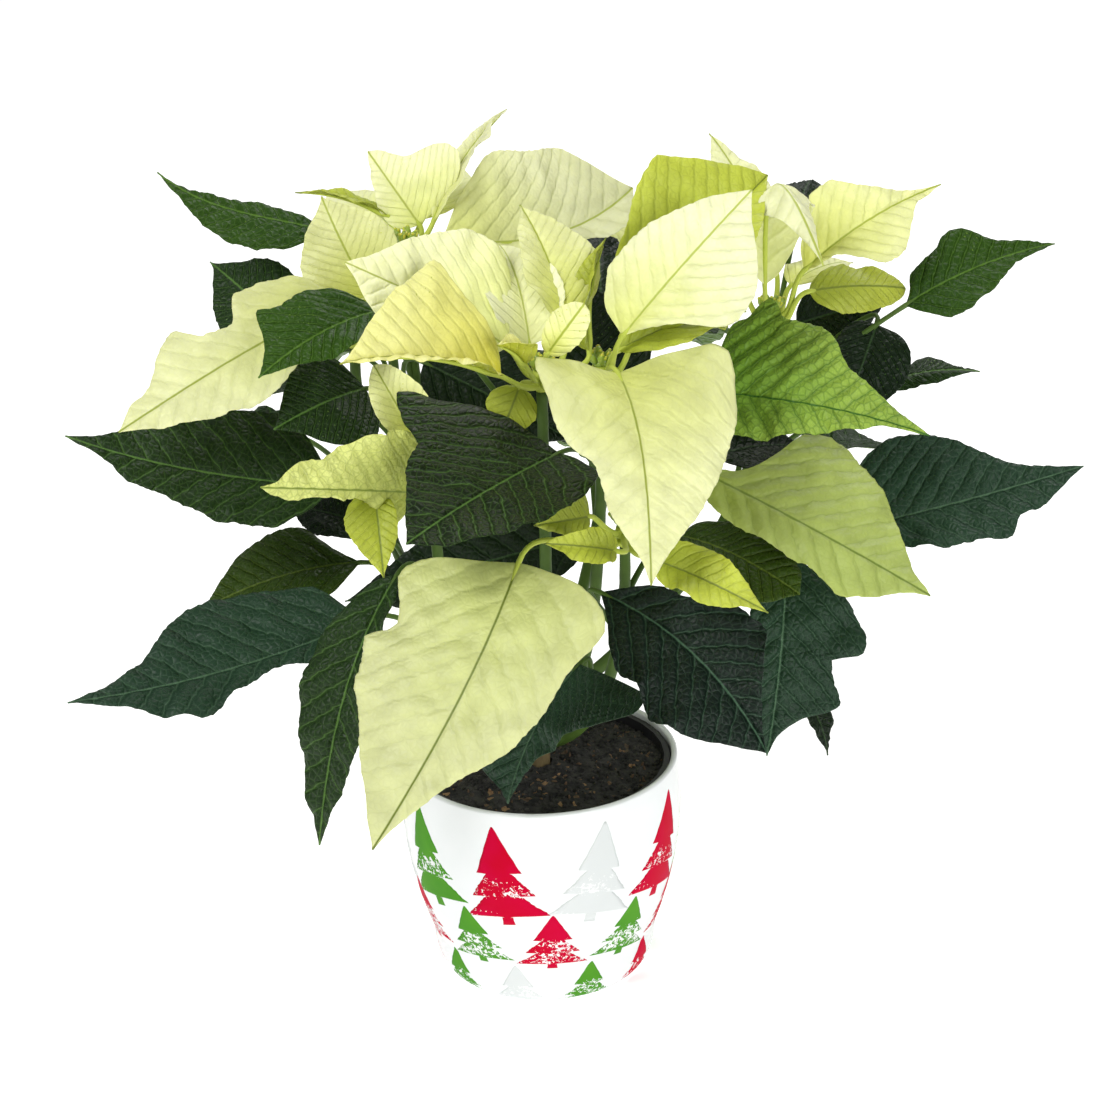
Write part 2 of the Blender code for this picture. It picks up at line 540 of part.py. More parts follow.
leaf("e", 0.55, "big_left", (-92, -20, 262), (-213, -30, 295), (28, 36), rise=(-0.07, -0.1),
     looks=(0, -0.6, 0.9),
     profile=((0.06, 12, 15), (0.12, 20, 26), (0.2, 28, 34), (0.3, 28, 36), (0.4, 28, 34), (0.5, 22, 29),
              (0.6, 18, 24), (0.7, 16, 19), (0.8, 9, 11), (0.9, 3, 5)))
leaf("e", 0.45, "dark_left", (-75, -10, 236), (-116, 20, 235), (16, 16), looks=(0, -0.6, 1))
leaf("e", 0.3, "olive", (-83, 0, 215), (-158, 0, 193), (24, 26), looks=(0, -0.5, 1),
     profile=((0.12, 14, 8), (0.2, 20, 15), (0.3, 23, 24), (0.4, 24, 26), (0.5, 23, 25), (0.6, 20, 22),
              (0.7, 16, 21), (0.8, 11, 14), (0.9, 5, 7)))
leaf("e", 0.6, "back_left", (-120, 70, 255), (-190, 130, 215), (26, 26))
leaf("e", 0.35, "back_low", (-95, 90, 218), (-140, 160, 185), (25, 25))
leaf("f", 0.7, "low_right", (30, -80, 232), (102, -130, 174), (31, 38), rise=(0.1, 0.1),
     sway=(-0.08, -0.07), looks=(0, -0.5, 1), fold=(20, 0), cup=(30, 0),
     profile=((0.1, 8, 12), (0.2, 15, 25), (0.3, 18, 31), (0.4, 24, 31), (0.5, 30, 35), (0.6, 31, 38),
              (0.7, 21, 33), (0.8, 11, 25), (0.9, 4, 14)))
leaf("f", 0.85, "mid_right", (66, -50, 246), (119, -95, 235), (17, 26), looks=(0, -0.5, 1),
     profile=((0.1, 10, 14), (0.3, 16, 24), (0.5, 17, 26), (0.7, 15, 24), (0.9, 10, 14)))
leaf("f", 0.25, "soil", (20, -52, 183), (-15, -75, 123), (62, 23), heart=(12, 0),
     profile=((0.06, 40, 16), (0.12, 60, 20), (0.2, 62, 20), (0.3, 39, 20), (0.4, 26, 19), (0.5, 21, 19),
              (0.6, 14, 20), (0.7, 9, 21), (0.8, 5, 23), (0.88, 3, 21), (0.94, 2, 7)))
leaf("g", 0.5, "low_left", (-79, -50, 208), (-210, -110, 198), (26, 38), rise=(-0.09, -0.07),
     looks=(0, -0.5, 1),
     profile=((0.1, 15, 27), (0.2, 13, 32), (0.3, 8, 36), (0.4, 11, 38), (0.5, 17, 37), (0.6, 26, 29),
              (0.7, 20, 17), (0.8, 12, 9), (0.9, 4, 4)))
leaf("g", 0.6, "hang", (-61, -75, 242), (-100, -122, 129), (17, 24), rise=(0.16, 0.1),
     profile=((0.06, 5, 9), (0.15, 8, 15), (0.35, 15, 23), (0.45, 17, 24), (0.55, 17, 22), (0.65, 15, 17),
              (0.75, 12, 13), (0.85, 7, 9), (0.93, 3, 4)))
leaf("h", 0.8, "back_right", (60, 150, 268), (95, 235, 232), (28, 28))
leaf("h", 0.7, "back", (20, 160, 255), (5, 245, 215), (29, 29))
leaf("h", 0.6, "right", (85, 130, 250), (160, 190, 222), (27, 27))
leaf("h", 0.45, "low", (30, 120, 222), (40, 200, 175), (25, 25))
leaf("i", 0.8, "back_left", (-80, 165, 262), (-110, 240, 225), (26, 26))
leaf("i", 0.7, "left", (-105, 140, 250), (-180, 180, 225), (27, 27))
leaf("i", 0.6, "back", (-60, 160, 232), (-60, 235, 180), (27, 27))
leaf("i", 0.4, "low", (-40, 130, 205), (-20, 200, 165), (24, 24))

# Shoots, bracts and flower buds: each node is a list of closed pieces that one union joins
SHOOT_RADIUS = (3.3, 2.5)
SHOOT_SIDES = 6
SHOOT_STEPS = 5
NECK = 10.0
NECK_RADIUS = (2.7, 4.2)
STALK_DEPTHS = (0.35, 0.72)
STALK_INSET = 2.2
BUD_BASE = (3.4, 2.2)
BUD_RADII = (1.0, 1.9, 1.2)
BUD_LENGTH = 6.0
BUD_LEAN = 0.6
BUD_SPREAD = 2.2
BUD_SIDES = 4
BUDS = 4
PIECES = {}


def add(node, piece, solid):
    PIECES.setdefault(node, []).append((piece, *solid))


def stub(head):
    """Root, end and direction of the stub that a shoot grows from."""
    (x, y, _), height = HEADS[head]
    out = np.array((x, y, 0)) / math.hypot(x, y)
    root = np.array((0, 0, height), float)
    direction = unit(out + np.array((0, 0, 0.6)))
    return root, root + direction * STUB_REACH, direction


def shoot_path(head, steps):
    """The curve from the stub's end up to the neck under the bracts."""
    crown = np.array(HEADS[head][0], float)
    _, start, direction = stub(head)
    start = start + direction * GAP
    end = crown - (0, 0, NECK + GAP)
    last_bend = end - (0, 0, SHOOT_RADIUS[1])
    length = np.linalg.norm(end - start)
    lean = min(0.38 * length, 0.6 * math.hypot(crown[0], crown[1]))
    bend = curve(start + direction * SHOOT_RADIUS[0], start + direction * lean,
                 last_bend - np.array((0, 0, 0.4)) * length, last_bend, steps)
    return np.vstack([start, bend, end])


def shoot(head):
    node = "shoot_" + head
    path = shoot_path(head, SHOOT_STEPS)
    add(node, "stem", tube(path, np.linspace(*SHOOT_RADIUS, len(path)), SHOOT_SIDES))
    fine = shoot_path(head, 100)
    for shape in LEAVES[head]:
        start = fine[round(shape["along"] * 100)]
        outward = unit(np.array(shape["base"], float) - start) + np.array((0, 0, 0.5))
        add(node, shape["name"], leaf_solid(shape, start, outward))


def bract_ring(head):
    """The neck that carries the bracts, whose stalks leave it at two heights in turn."""
    node = "bracts_" + head
    crown = np.array(HEADS[head][0], float)
    neck = [crown - (0, 0, NECK), crown - (0, 0, NECK * 0.6), crown]
    add(node, "neck", tube(neck, (NECK_RADIUS[0], NECK_RADIUS[1], NECK_RADIUS[1]), SHOOT_SIDES))
    reach = [(np.array(shape["base"], float) - crown) * (1, 1, 0.1) for shape in BRACTS[head]]
    turn = sorted(range(len(reach)), key=lambda k: math.atan2(reach[k][1], reach[k][0]))
    for place_in_turn, k in enumerate(turn):
        start = crown - (0, 0, NECK * STALK_DEPTHS[place_in_turn % 2]) + unit(reach[k]) * STALK_INSET
        add(node, BRACTS[head][k]["name"], leaf_solid(BRACTS[head][k], start, reach[k]))


def buds(head):
    node = "cyathia_" + head
    foot = np.array(HEADS[head][0], float) + (0, 0, GAP)
    radius, height = BUD_BASE
    add(node, "base", tube([foot, foot + (0, 0, height)], (radius, radius * 0.8), SHOOT_SIDES))
    for k in range(BUDS):
        angle = math.tau * (k + ord(head) * 0.37) / (BUDS - 1)
        out = np.zeros(3) if k == BUDS - 1 else np.array((math.cos(angle), math.sin(angle), 0))
        direction = unit(out * BUD_LEAN + (0, 0, 1))
        start = foot + (0, 0, height * 0.6) + out * BUD_SPREAD
        path = [start + direction * BUD_LENGTH * step for step in (0, 0.6, 1)]
        add(node, "bud %d" % k, tube(path, BUD_RADII, BUD_SIDES))


def woody_stem():
    heights = (STEM_BOTTOM, 104, 120, 136, STEM_TOP)
    path = [(0, 0, z) for z in heights]
    radii = np.interp(heights, (STEM_BOTTOM, STEM_TOP), STEM_RADIUS)
    add("main_stem", "stem", tube(path, radii, STEM_SIDES))
    for head in HEADS:
        root, end, _ = stub(head)
        add("main_stem", "stub " + head, tube([root, end], (STUB_RADIUS, STUB_RADIUS), SHOOT_SIDES))


woody_stem()
for head in HEADS:
    shoot(head)
    bract_ring(head)
    buds(head)


def fuse(node, pieces, material):
    """Joins a node's closed pieces into one body with one union."""
    group = bpy.data.collections.new(node)
    bpy.context.scene.collection.children.link(group)
    things = []
    for _, verts, faces in pieces:
        bm = bmesh.new()
        corners = [bm.verts.new(v) for v in verts]
        for face in faces:
            bm.faces.new([corners[k] for k in face])
        bmesh.ops.triangulate(bm, faces=bm.faces)
        things.append(place(node + "_piece", bm, material))
    whole = things.pop(0)
    for thing in things:
        bpy.context.scene.collection.objects.unlink(thing)
        group.objects.link(thing)
    join = whole.modifiers.new("join", "BOOLEAN")
    join.operation = "UNION"
    join.operand_type = "COLLECTION"
    join.collection = group
    view = bpy.context.evaluated_depsgraph_get()
    mesh = bpy.data.meshes.new_from_object(whole.evaluated_get(view))
    whole.modifiers.remove(join)
    whole.data = mesh
    whole.name = mesh.name = node
    for thing in things:
        bpy.data.objects.remove(thing, do_unlink=True)
    bpy.data.collections.remove(group)


MATERIALS = {"main": WOOD, "shoot": LEAF_GREEN, "bracts": BRACT_CREAM, "cyathia": BUD_YELLOW}
for node, pieces in PIECES.items():
    fuse(node, pieces, MATERIALS[node.split("_")[0]])
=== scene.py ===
"""A potted poinsettia with cream-yellow bracts, dressed for looks.

All sizes below are in millimetres: X runs to the right, Y away from the front, Z up, and
the origin is the middle of the cover pot's underside. The plant's leaves and bracts follow
the same table and the same formula as the construction, with a far finer surface.
"""
import math

import bpy
import numpy as np
from mathutils import Matrix, Vector, noise


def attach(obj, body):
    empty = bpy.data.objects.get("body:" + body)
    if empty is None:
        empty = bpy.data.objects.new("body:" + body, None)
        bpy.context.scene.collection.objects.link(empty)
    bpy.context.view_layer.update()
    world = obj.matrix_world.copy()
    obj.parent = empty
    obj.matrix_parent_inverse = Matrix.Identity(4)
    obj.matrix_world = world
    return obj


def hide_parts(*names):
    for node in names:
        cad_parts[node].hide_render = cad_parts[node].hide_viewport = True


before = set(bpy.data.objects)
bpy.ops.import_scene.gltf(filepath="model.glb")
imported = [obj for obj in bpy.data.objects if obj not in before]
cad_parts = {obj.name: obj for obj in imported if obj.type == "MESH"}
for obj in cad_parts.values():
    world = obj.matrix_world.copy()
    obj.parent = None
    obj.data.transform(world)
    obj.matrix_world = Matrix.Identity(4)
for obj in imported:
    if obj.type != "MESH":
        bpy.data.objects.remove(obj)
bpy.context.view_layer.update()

# Camera, floor and lights
# The plant stands on a seamless white floor and is seen from a little above its pot.
# A bright white surround and three large soft lamps leave only a faint shadow at the foot,
# and the plain Standard view shows every finish in its own colour.
MM = 0.001
CAMERA_RISE = math.radians(23.6)
CAMERA_ROLL = math.radians(1.5)
CAMERA_DISTANCE = 1600
CAMERA_LENS = 108
CAMERA_AIM = (12.2, 0, 213.5)
FLOOR_WIDTH = 40000
WORLD_STRENGTH = 0.34
FLOOR_GLOW = 0.5
# Each lamp: its place, its width, and its power in watts.
LAMPS = {
    "key": ((-1100, -1000, 1700), 800, 25),
    "fill": ((900, -1500, 700), 1100, 15),
    "rim": ((500, 1200, 1700), 1200, 16),
}


def hex_colour(text):
    """An sRGB hex colour as linear RGBA."""
    channels = [int(text[k:k + 2], 16) / 255 for k in (0, 2, 4)]
    return (*(c / 12.92 if c <= 0.04045 else ((c + 0.055) / 1.055) ** 2.4 for c in channels), 1.0)


def node(tree, kind, inputs=None, **settings):
    """Adds a node with its settings; an input is a value, or the output that feeds it."""
    made = tree.nodes.new(kind)
    for key, value in settings.items():
        setattr(made, key, value)
    for key, value in (inputs or {}).items():
        if isinstance(value, bpy.types.NodeSocket):
            tree.links.new(value, made.inputs[key])
        else:
            made.inputs[key].default_value = value
    return made


def finish(name, colour, roughness, **sockets):
    """A material with its plain values set, and its node tree and shader."""
    made = bpy.data.materials.new(name)
    made.use_nodes = True
    shader = made.node_tree.nodes["Principled BSDF"]
    shader.inputs["Base Color"].default_value = hex_colour(colour)
    shader.inputs["Roughness"].default_value = roughness
    for key, value in sockets.items():
        shader.inputs[key.replace("_", " ").title().replace("Ior", "IOR")].default_value = value
    return made, made.node_tree, shader


def stand_camera():
    """A long lens, a little above the plant, rolled by the photograph's small angle."""
    back = Vector((0, -math.cos(CAMERA_RISE), math.sin(CAMERA_RISE)))
    level, up = Vector((1, 0, 0)), Vector((1, 0, 0)).cross(-back)
    right = math.cos(CAMERA_ROLL) * level - math.sin(CAMERA_ROLL) * up
    top = math.sin(CAMERA_ROLL) * level + math.cos(CAMERA_ROLL) * up
    lens = bpy.data.cameras.new("camera")
    lens.lens = CAMERA_LENS
    camera = bpy.data.objects.new("camera", lens)
    turn = Matrix((right, top, back)).transposed().to_4x4()
    camera.matrix_world = Matrix.Translation((Vector(CAMERA_AIM) + back * CAMERA_DISTANCE) * MM) @ turn
    bpy.context.scene.collection.objects.link(camera)
    bpy.context.scene.camera = camera


def light_scene():
    """Large soft lamps aimed at the middle of the plant, in an even white surround."""
    for name, (place, width, power) in LAMPS.items():
        lamp = bpy.data.lights.new(name, "AREA")
        lamp.size = width * MM
        lamp.energy = power
        holder = bpy.data.objects.new(name, lamp)
        holder.location = Vector(place) * MM
        holder.rotation_euler = (Vector(CAMERA_AIM) - Vector(place)).to_track_quat("-Z", "Y").to_euler()
        bpy.context.scene.collection.objects.link(holder)
    world = bpy.data.worlds.new("white_surround")
    world.use_nodes = True
    world.node_tree.nodes["Background"].inputs["Color"].default_value = hex_colour("FFFFFF")
    world.node_tree.nodes["Background"].inputs["Strength"].default_value = WORLD_STRENGTH
    bpy.context.scene.world = world


def lay_floor():
    """A wide sheet of matt white paper with a little glow of its own, so it shows no edge."""
    paper, tree, shader = finish("matt_white_paper", "F4F4F2", 0.9)
    grain = node(tree, "ShaderNodeTexNoise", {"Scale": 300.0})
    bump = node(tree, "ShaderNodeBump", {"Strength": 0.05, "Distance": 0.0005,
                                         "Height": grain.outputs["Fac"]})
    tree.links.new(bump.outputs["Normal"], shader.inputs["Normal"])
    shader.inputs["Emission Color"].default_value = hex_colour("FFFFFF")
    shader.inputs["Emission Strength"].default_value = FLOOR_GLOW
    half = FLOOR_WIDTH / 2 * MM
    mesh = bpy.data.meshes.new("floor")
    mesh.from_pydata([(-half, -half, 0), (half, -half, 0), (half, half, 0), (-half, half, 0)],
                     [], [(0, 1, 2, 3)])
    mesh.materials.append(paper)
    floor = bpy.data.objects.new("floor", mesh)
    bpy.context.scene.collection.objects.link(floor)


bpy.context.scene.view_settings.view_transform = "Standard"
stand_camera()
light_scene()
lay_floor()

# Cover pot
# Slip-cast earthenware in a glossy white glaze, widest just under its rim, with a rounded
# foot. Rows of small stamped fir trees run round it, each row half a tree on from the last.
POT_HEIGHT = 112.0
POT_FOOT = 46.5
POT_SHOULDER = (55.0, 21.0)
POT_RIM = 67.0
POT_BELLY = 5.7
POT_WALL = 3.2
POT_FLOOR = 4.0
# How fine it is: degrees to a step round its foot and rim, and steps up its wall.
POT_SIDES = 144
POT_FOOT_STEP = 9
POT_RIM_STEP = 15
POT_WALL_STEPS = 31
POT_INSIDE_START = 5


def pot_radius(z):
    """Outer radius of the cover pot at a height."""
    radius, height = POT_SHOULDER
    if z < height:
        return POT_FOOT + (radius - POT_FOOT) * math.sqrt(max(0.0, 1 - (1 - z / height) ** 2))
    t = (z - height) / (POT_HEIGHT - height)
    return radius + (POT_RIM - radius) * t + POT_BELLY * 4 * t * (1 - t)


def ring_faces(rings, sides):
    """Faces of a closed shape from rings of points, and then one point in the middle of each end."""
    faces = []
    last = (rings - 1) * sides
    for k in range(sides):
        after = (k + 1) % sides
        for low in range(0, last, sides):
            faces.append((low + k, low + after, low + sides + after, low + sides + k))
        faces += [(after, k, last + sides), (last + k, last + after, last + sides + 1)]
    return faces


def turned(outline, sides):
    """Points and faces of a closed shape turned about Z, from an outline that ends on the axis."""
    angles = np.arange(sides) * math.tau / sides
    rings = outline[1:-1]
    verts = [(r * math.cos(a), r * math.sin(a), z) for r, z in rings for a in angles]
    verts += [(0, 0, outline[0][1]), (0, 0, outline[-1][1])]
    return np.array(verts), ring_faces(len(rings), sides)


def sheet_faces(rows, columns):
    """Quads of a closed thin sheet: its upper grid, the lower grid behind it and the edge."""
    index = np.arange(rows * columns).reshape(rows, columns)
    upper = np.stack([index[:-1, :-1], index[:-1, 1:], index[1:, 1:], index[1:, :-1]], -1).reshape(-1, 4)
    rim = np.concatenate([index[0, :-1], index[:-1, -1], index[-1, :0:-1], index[:0:-1, 0]])
    after = np.roll(rim, -1)
    size = rows * columns
    edge = np.stack([rim + size, after + size, after, rim], -1)
    return np.concatenate([upper, upper[:, ::-1] + size, edge])


def piece(name, verts, faces, material, slot, nodes=(), sharp=None):
    """A smooth piece of the plant or its pot, from points in millimetres, on the one body."""
    mesh = bpy.data.meshes.new(name)
    mesh.from_pydata((np.asarray(verts) * MM).tolist(), [], [tuple(int(k) for k in f) for f in faces])
    mesh.materials.append(material)
    mesh.shade_smooth()
    if sharp:
        mesh.set_sharp_from_angle(angle=math.radians(sharp))
    made = bpy.data.objects.new(name, mesh)
    bpy.context.scene.collection.objects.link(made)
    settle(made, nodes)
    return made


def settle(made, nodes=()):
    """Fixes a finished piece to the one body, and hides the construction's nodes that it stands for."""
    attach(made, "root")
    if nodes:
        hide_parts(*nodes)


def white_glaze():
    """Glossy fired glaze: almost pure white, with the faint orange-peel of a dipped glaze."""
    glaze, tree, shader = finish("glossy_white_glaze", "E6E9EA", 0.22, coat_weight=0.4,
                                 coat_roughness=0.08)
    place = node(tree, "ShaderNodeTexCoord")
    peel = node(tree, "ShaderNodeTexNoise", {"Vector": place.outputs["Object"], "Scale": 70.0,
                                             "Detail": 2.0})
    tint = node(tree, "ShaderNodeMix", {0: peel.outputs["Fac"], 6: hex_colour("E4E8E9"),
                                        7: hex_colour("E9EBEC")}, data_type="RGBA")
    bump = node(tree, "ShaderNodeBump", {"Strength": 0.06, "Distance": 0.0004,
                                         "Height": peel.outputs["Fac"]})
    tree.links.new(tint.outputs[2], shader.inputs["Base Color"])
    tree.links.new(bump.outputs["Normal"], shader.inputs["Normal"])
    return glaze


def cover_pot():
    """The pot as one closed turned shape: rounded foot, wall, rounded rim, inside and floor."""
    shoulder = POT_SHOULDER[1]
    rise = [shoulder * (1 - math.cos(math.radians(a))) for a in range(0, 91, POT_FOOT_STEP)]
    wall = list(np.linspace(shoulder, POT_HEIGHT - POT_WALL / 2, POT_WALL_STEPS)[1:])
    outer = [(pot_radius(z), z) for z in rise + wall]
    rim_middle = pot_radius(wall[-1]) - POT_WALL / 2
    rim = [(rim_middle + POT_WALL / 2 * math.cos(math.radians(a)),
            wall[-1] + POT_WALL / 2 * math.sin(math.radians(a)))
           for a in range(POT_RIM_STEP, 180, POT_RIM_STEP)]
    inner = [(pot_radius(z) - POT_WALL, z) for z in reversed(rise[POT_INSIDE_START:] + wall)]
    inner.append((POT_FOOT - POT_WALL, POT_FLOOR))
    verts, faces = turned([(0, 0)] + outer + rim + inner + [(0, POT_FLOOR)], POT_SIDES)
    piece("glazed_pot", verts, faces, white_glaze(), "glaze", ["cover_pot"], sharp=50)


cover_pot()

# Fir trees on the pot
# One-colour stamps under the glaze, each a plain three-tiered fir on a short trunk. Their
# edges are a little torn, and a band of white flecks shows where the stamp didn't take.

# A row: the height of its foot line, a tree's height and width, the angle of the first tree
# from the front, the most that its trees lean, the band of flecks down a tree, and the inks.
FIR_ROWS = (
    (55.5, 50, 42.5, -51.5, 13, (0.5, 0.6, 0.74, 0.84),
     "green crimson grey crimson green grey crimson green crimson grey"),
    (25.5, 31.5, 35.5, -32.5, 8, (0.4, 0.55, 0.97, 1.05),
     "green crimson green crimson green grey crimson green grey crimson"),
    (-2.5, 26, 30, -50, 6, (0.35, 0.5, 0.97, 1.05),
     "green grey green crimson green grey crimson green grey crimson"),
)
# A tier: how far down the fir its top and foot are, and its half widths there.
FIR_TIERS = ((0, 0.5, 0.02, 0.53), (0.5, 0.76, 0.3, 0.77), (0.76, 1, 0.42, 1))
FIR_TIER_STEPS = 12
FIR_LEDGE = 0.01
FIR_TRUNK = (1.1, 0.13)
FIR_TRUNK_FLARE = 1.1
FIR_COLUMNS = 13
FIR_DROOP = 0.02
FIR_PROUD = 0.02
FIR_DEPTH = 0.3
FIR_LOWEST = 1.5
FIR_EDGE_WEAR = 0.035
FIR_EDGE_WAVES = (47, 90)
INKS = {"crimson": ("BE0018", "C60040"), "green": ("428628", "5A9A2C"), "grey": ("D2D6D6", "D6DADA")}


def fir_outline():
    """Heights down a fir and its half widths there, as shares of its height and half its foot."""
    rows = []
    for top, foot, narrow, wide in FIR_TIERS:
        for share in np.linspace(0, 1, FIR_TIER_STEPS):
            down = top + (foot - top) * share + FIR_LEDGE * (share == 0)
            rows.append((down, narrow + (wide - narrow) * share))
    trunk, thick = FIR_TRUNK
    return rows + [(1 + FIR_LEDGE, thick), ((1 + trunk) / 2, thick), (trunk, thick * FIR_TRUNK_FLARE)]


def stamped_ink(name, deep, light):
    """Flat stamped ink: even where it took, and broken by white flecks where it didn't."""
    ink, tree, shader = finish("stamped_%s_ink" % name, deep, 0.55, specular_ior_level=0.04)
    place = node(tree, "ShaderNodeTexCoord")
    spot = node(tree, "ShaderNodeTexNoise", {"Vector": place.outputs["Object"], "Scale": 520.0,
                                             "Detail": 4.0, "Roughness": 0.65, "Distortion": 0.6})
    patch = node(tree, "ShaderNodeTexNoise", {"Vector": place.outputs["Object"], "Scale": 80.0})
    own = node(tree, "ShaderNodeAttribute", attribute_name="worn")
    worn = node(tree, "ShaderNodeMath", {0: patch.outputs["Fac"], 1: own.outputs["Fac"]},
                operation="MULTIPLY")
    limit = node(tree, "ShaderNodeMapRange", {"Value": worn.outputs[0], "From Min": 0.0, "From Max": 0.62,
                                              "To Min": 0.78, "To Max": 0.485})
    over = node(tree, "ShaderNodeMath", {0: spot.outputs["Fac"], 1: limit.outputs[0]},
                operation="SUBTRACT")
    fleck = node(tree, "ShaderNodeMapRange", {"Value": over.outputs[0], "From Min": 0.0,
                                              "From Max": 0.015, "To Min": 0.0, "To Max": 1.0})
    tint = node(tree, "ShaderNodeMix", {0: patch.outputs["Fac"], 6: hex_colour(deep),
                                        7: hex_colour(light)}, data_type="RGBA")
    bare = node(tree, "ShaderNodeMix", {0: fleck.outputs[0], 6: tint.outputs[2],
                                        7: hex_colour("E6E8E8")}, data_type="RGBA")
    tree.links.new(bare.outputs[2], shader.inputs["Base Color"])
    return ink


def fir_sheet(row, count, centre):
    """Points of one fir laid on the pot, its front before its back, and how worn each one is."""
    low, height, foot, _, most, flecked, _ = row
    lean = math.radians(most * math.sin(2 * centre))
    waves, quick_waves = FIR_EDGE_WAVES
    points, worn = [], []
    for proud in (FIR_PROUD, -FIR_DEPTH):
        for down, wide in fir_outline():
            torn = 1 + FIR_EDGE_WEAR * math.sin(down * waves + count * 3) * math.sin(down * quick_waves)
            for share in np.linspace(-1, 1, FIR_COLUMNS):
                droop = FIR_DROOP * (wide * share) ** 2 if down < 1 + FIR_LEDGE / 2 else 0
                aside, above = wide * torn * share * foot / 2, (1 - down - droop) * height
                z = max(low + above * math.cos(lean) - aside * math.sin(lean), FIR_LOWEST)
                angle = centre + (aside * math.cos(lean) + above * math.sin(lean)) / pot_radius(z)
                reach = pot_radius(z) + proud
                points.append((reach * math.sin(angle), -reach * math.cos(angle), z))
                worn.append(float(np.interp(down, flecked, (0, 1, 1, 0))))
    return points, worn


for ink, (deep, light) in INKS.items():
    verts, faces, worn = [], [], []
    for row in FIR_ROWS:
        first, inks = row[3], row[-1].split()
        for count, own in enumerate(inks):
            if own == ink:
                centre = math.radians(first + count * 360 / len(inks))
                own_verts, own_worn = fir_sheet(row, count, centre)
                rows = len(own_verts) // 2 // FIR_COLUMNS
                faces += (sheet_faces(rows, FIR_COLUMNS)[:, ::-1] + len(verts)).tolist()
                verts += own_verts
                worn += own_worn
    stamps = piece("fir_stamps_" + ink, verts, faces, stamped_ink(ink, deep, light), "glaze")
    stamps.data.attributes.new("worn", "FLOAT", "POINT").data.foreach_set("value", worn)

# Grower pot
# Thin black polypropylene, injection moulded, with a rolled lip and four drain holes.
# It drops into the cover pot and stands on its floor.
def black_polypropylene():
    """Moulded black plastic: a dull satin with the fine grain of a sandblasted mould."""
    plastic, tree, shader = finish("black_polypropylene", "17171A", 0.45)
    place = node(tree, "ShaderNodeTexCoord")
    grain = node(tree, "ShaderNodeTexNoise", {"Vector": place.outputs["Object"], "Scale": 900.0})
    rough = node(tree, "ShaderNodeMapRange", {"Value": grain.outputs["Fac"], "To Min": 0.38,
                                              "To Max": 0.55})
    bump = node(tree, "ShaderNodeBump", {"Strength": 0.1, "Distance": 0.0002,
                                         "Height": grain.outputs["Fac"]})
    tree.links.new(rough.outputs[0], shader.inputs["Roughness"])
    tree.links.new(bump.outputs["Normal"], shader.inputs["Normal"])
    return plastic


for old_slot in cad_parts["grower_pot"].material_slots:
    old_slot.material = black_polypropylene()

# Potting soil
# Dark peat with bits of bark and tan fibre, loose on top, pressed level with a low dome
# round the stem. Crumbs lie all over it, most of them under three millimetres.
SOIL_TOP = 104.0
SOIL_DOME = 3.0
SOIL_EDGE = 60.4
SOIL_HOLE = 5.9
SOIL_FLOOR = 5.8
SOIL_FOOT = 41.7
STEM_BOTTOM = 66.0
SOIL_RINGS = 56
SOIL_SIDES = 168
# The clods of its surface: their height, how many turns to a millimetre, and the noise's layer.
SOIL_CLODS = ((1.5, 0.11, 3), (1.1, 0.34, 9))
SOIL_FADE = 3.0
# Loose bits: how many to a square metre, their radius, how drawn out they are, and their sizes.
CRUMBS = (125000, 1.15, 1.0)
FIBRES = (15000, 0.55, 3.2)
BIT_SIZES = (0.35, 1.3)


def potting_soil():
    """Wet peat: near black, with browner crumbs and tan flecks, and no shine."""
    soil, tree, shader = finish("damp_potting_soil", "1E1713", 0.95)
    place = node(tree, "ShaderNodeTexCoord")
    clods = node(tree, "ShaderNodeTexNoise", {"Vector": place.outputs["Object"], "Scale": 130.0,
                                              "Detail": 6.0, "Roughness": 0.7})
    flecks = node(tree, "ShaderNodeTexVoronoi", {"Vector": place.outputs["Object"], "Scale": 420.0})
    ramp = node(tree, "ShaderNodeMapRange", {"Value": clods.outputs["Fac"], "From Min": 0.38,
                                             "From Max": 0.7})
    brown = node(tree, "ShaderNodeMix", {0: ramp.outputs[0], 6: hex_colour("141515"),
                                         7: hex_colour("474541")}, data_type="RGBA")
    rare = node(tree, "ShaderNodeSeparateXYZ", {0: flecks.outputs["Color"]})
    tan = node(tree, "ShaderNodeMapRange", {"Value": rare.outputs["X"], "From Min": 0.96,
                                            "From Max": 0.99})
    tint = node(tree, "ShaderNodeMix", {0: tan.outputs[0], 6: brown.outputs[2],
                                        7: hex_colour("8A6E4E")}, data_type="RGBA")
    bump = node(tree, "ShaderNodeBump", {"Strength": 0.8, "Distance": 0.001,
                                         "Height": clods.outputs["Fac"]})
    tree.links.new(tint.outputs[2], shader.inputs["Base Color"])
    tree.links.new(bump.outputs["Normal"], shader.inputs["Normal"])
    return soil


def soil_height(x, y):
    """Height of the loose surface at a place, with clods two to eight millimetres across."""
    radius = math.hypot(x, y)
    rough = sum(tall * noise.noise(Vector((x, y, layer)) * turns) for tall, turns, layer in SOIL_CLODS)
    fade = min(1.0, (SOIL_EDGE - radius) / SOIL_FADE)
    return SOIL_TOP + SOIL_DOME * (1 - (radius / SOIL_EDGE) ** 2) + rough * fade


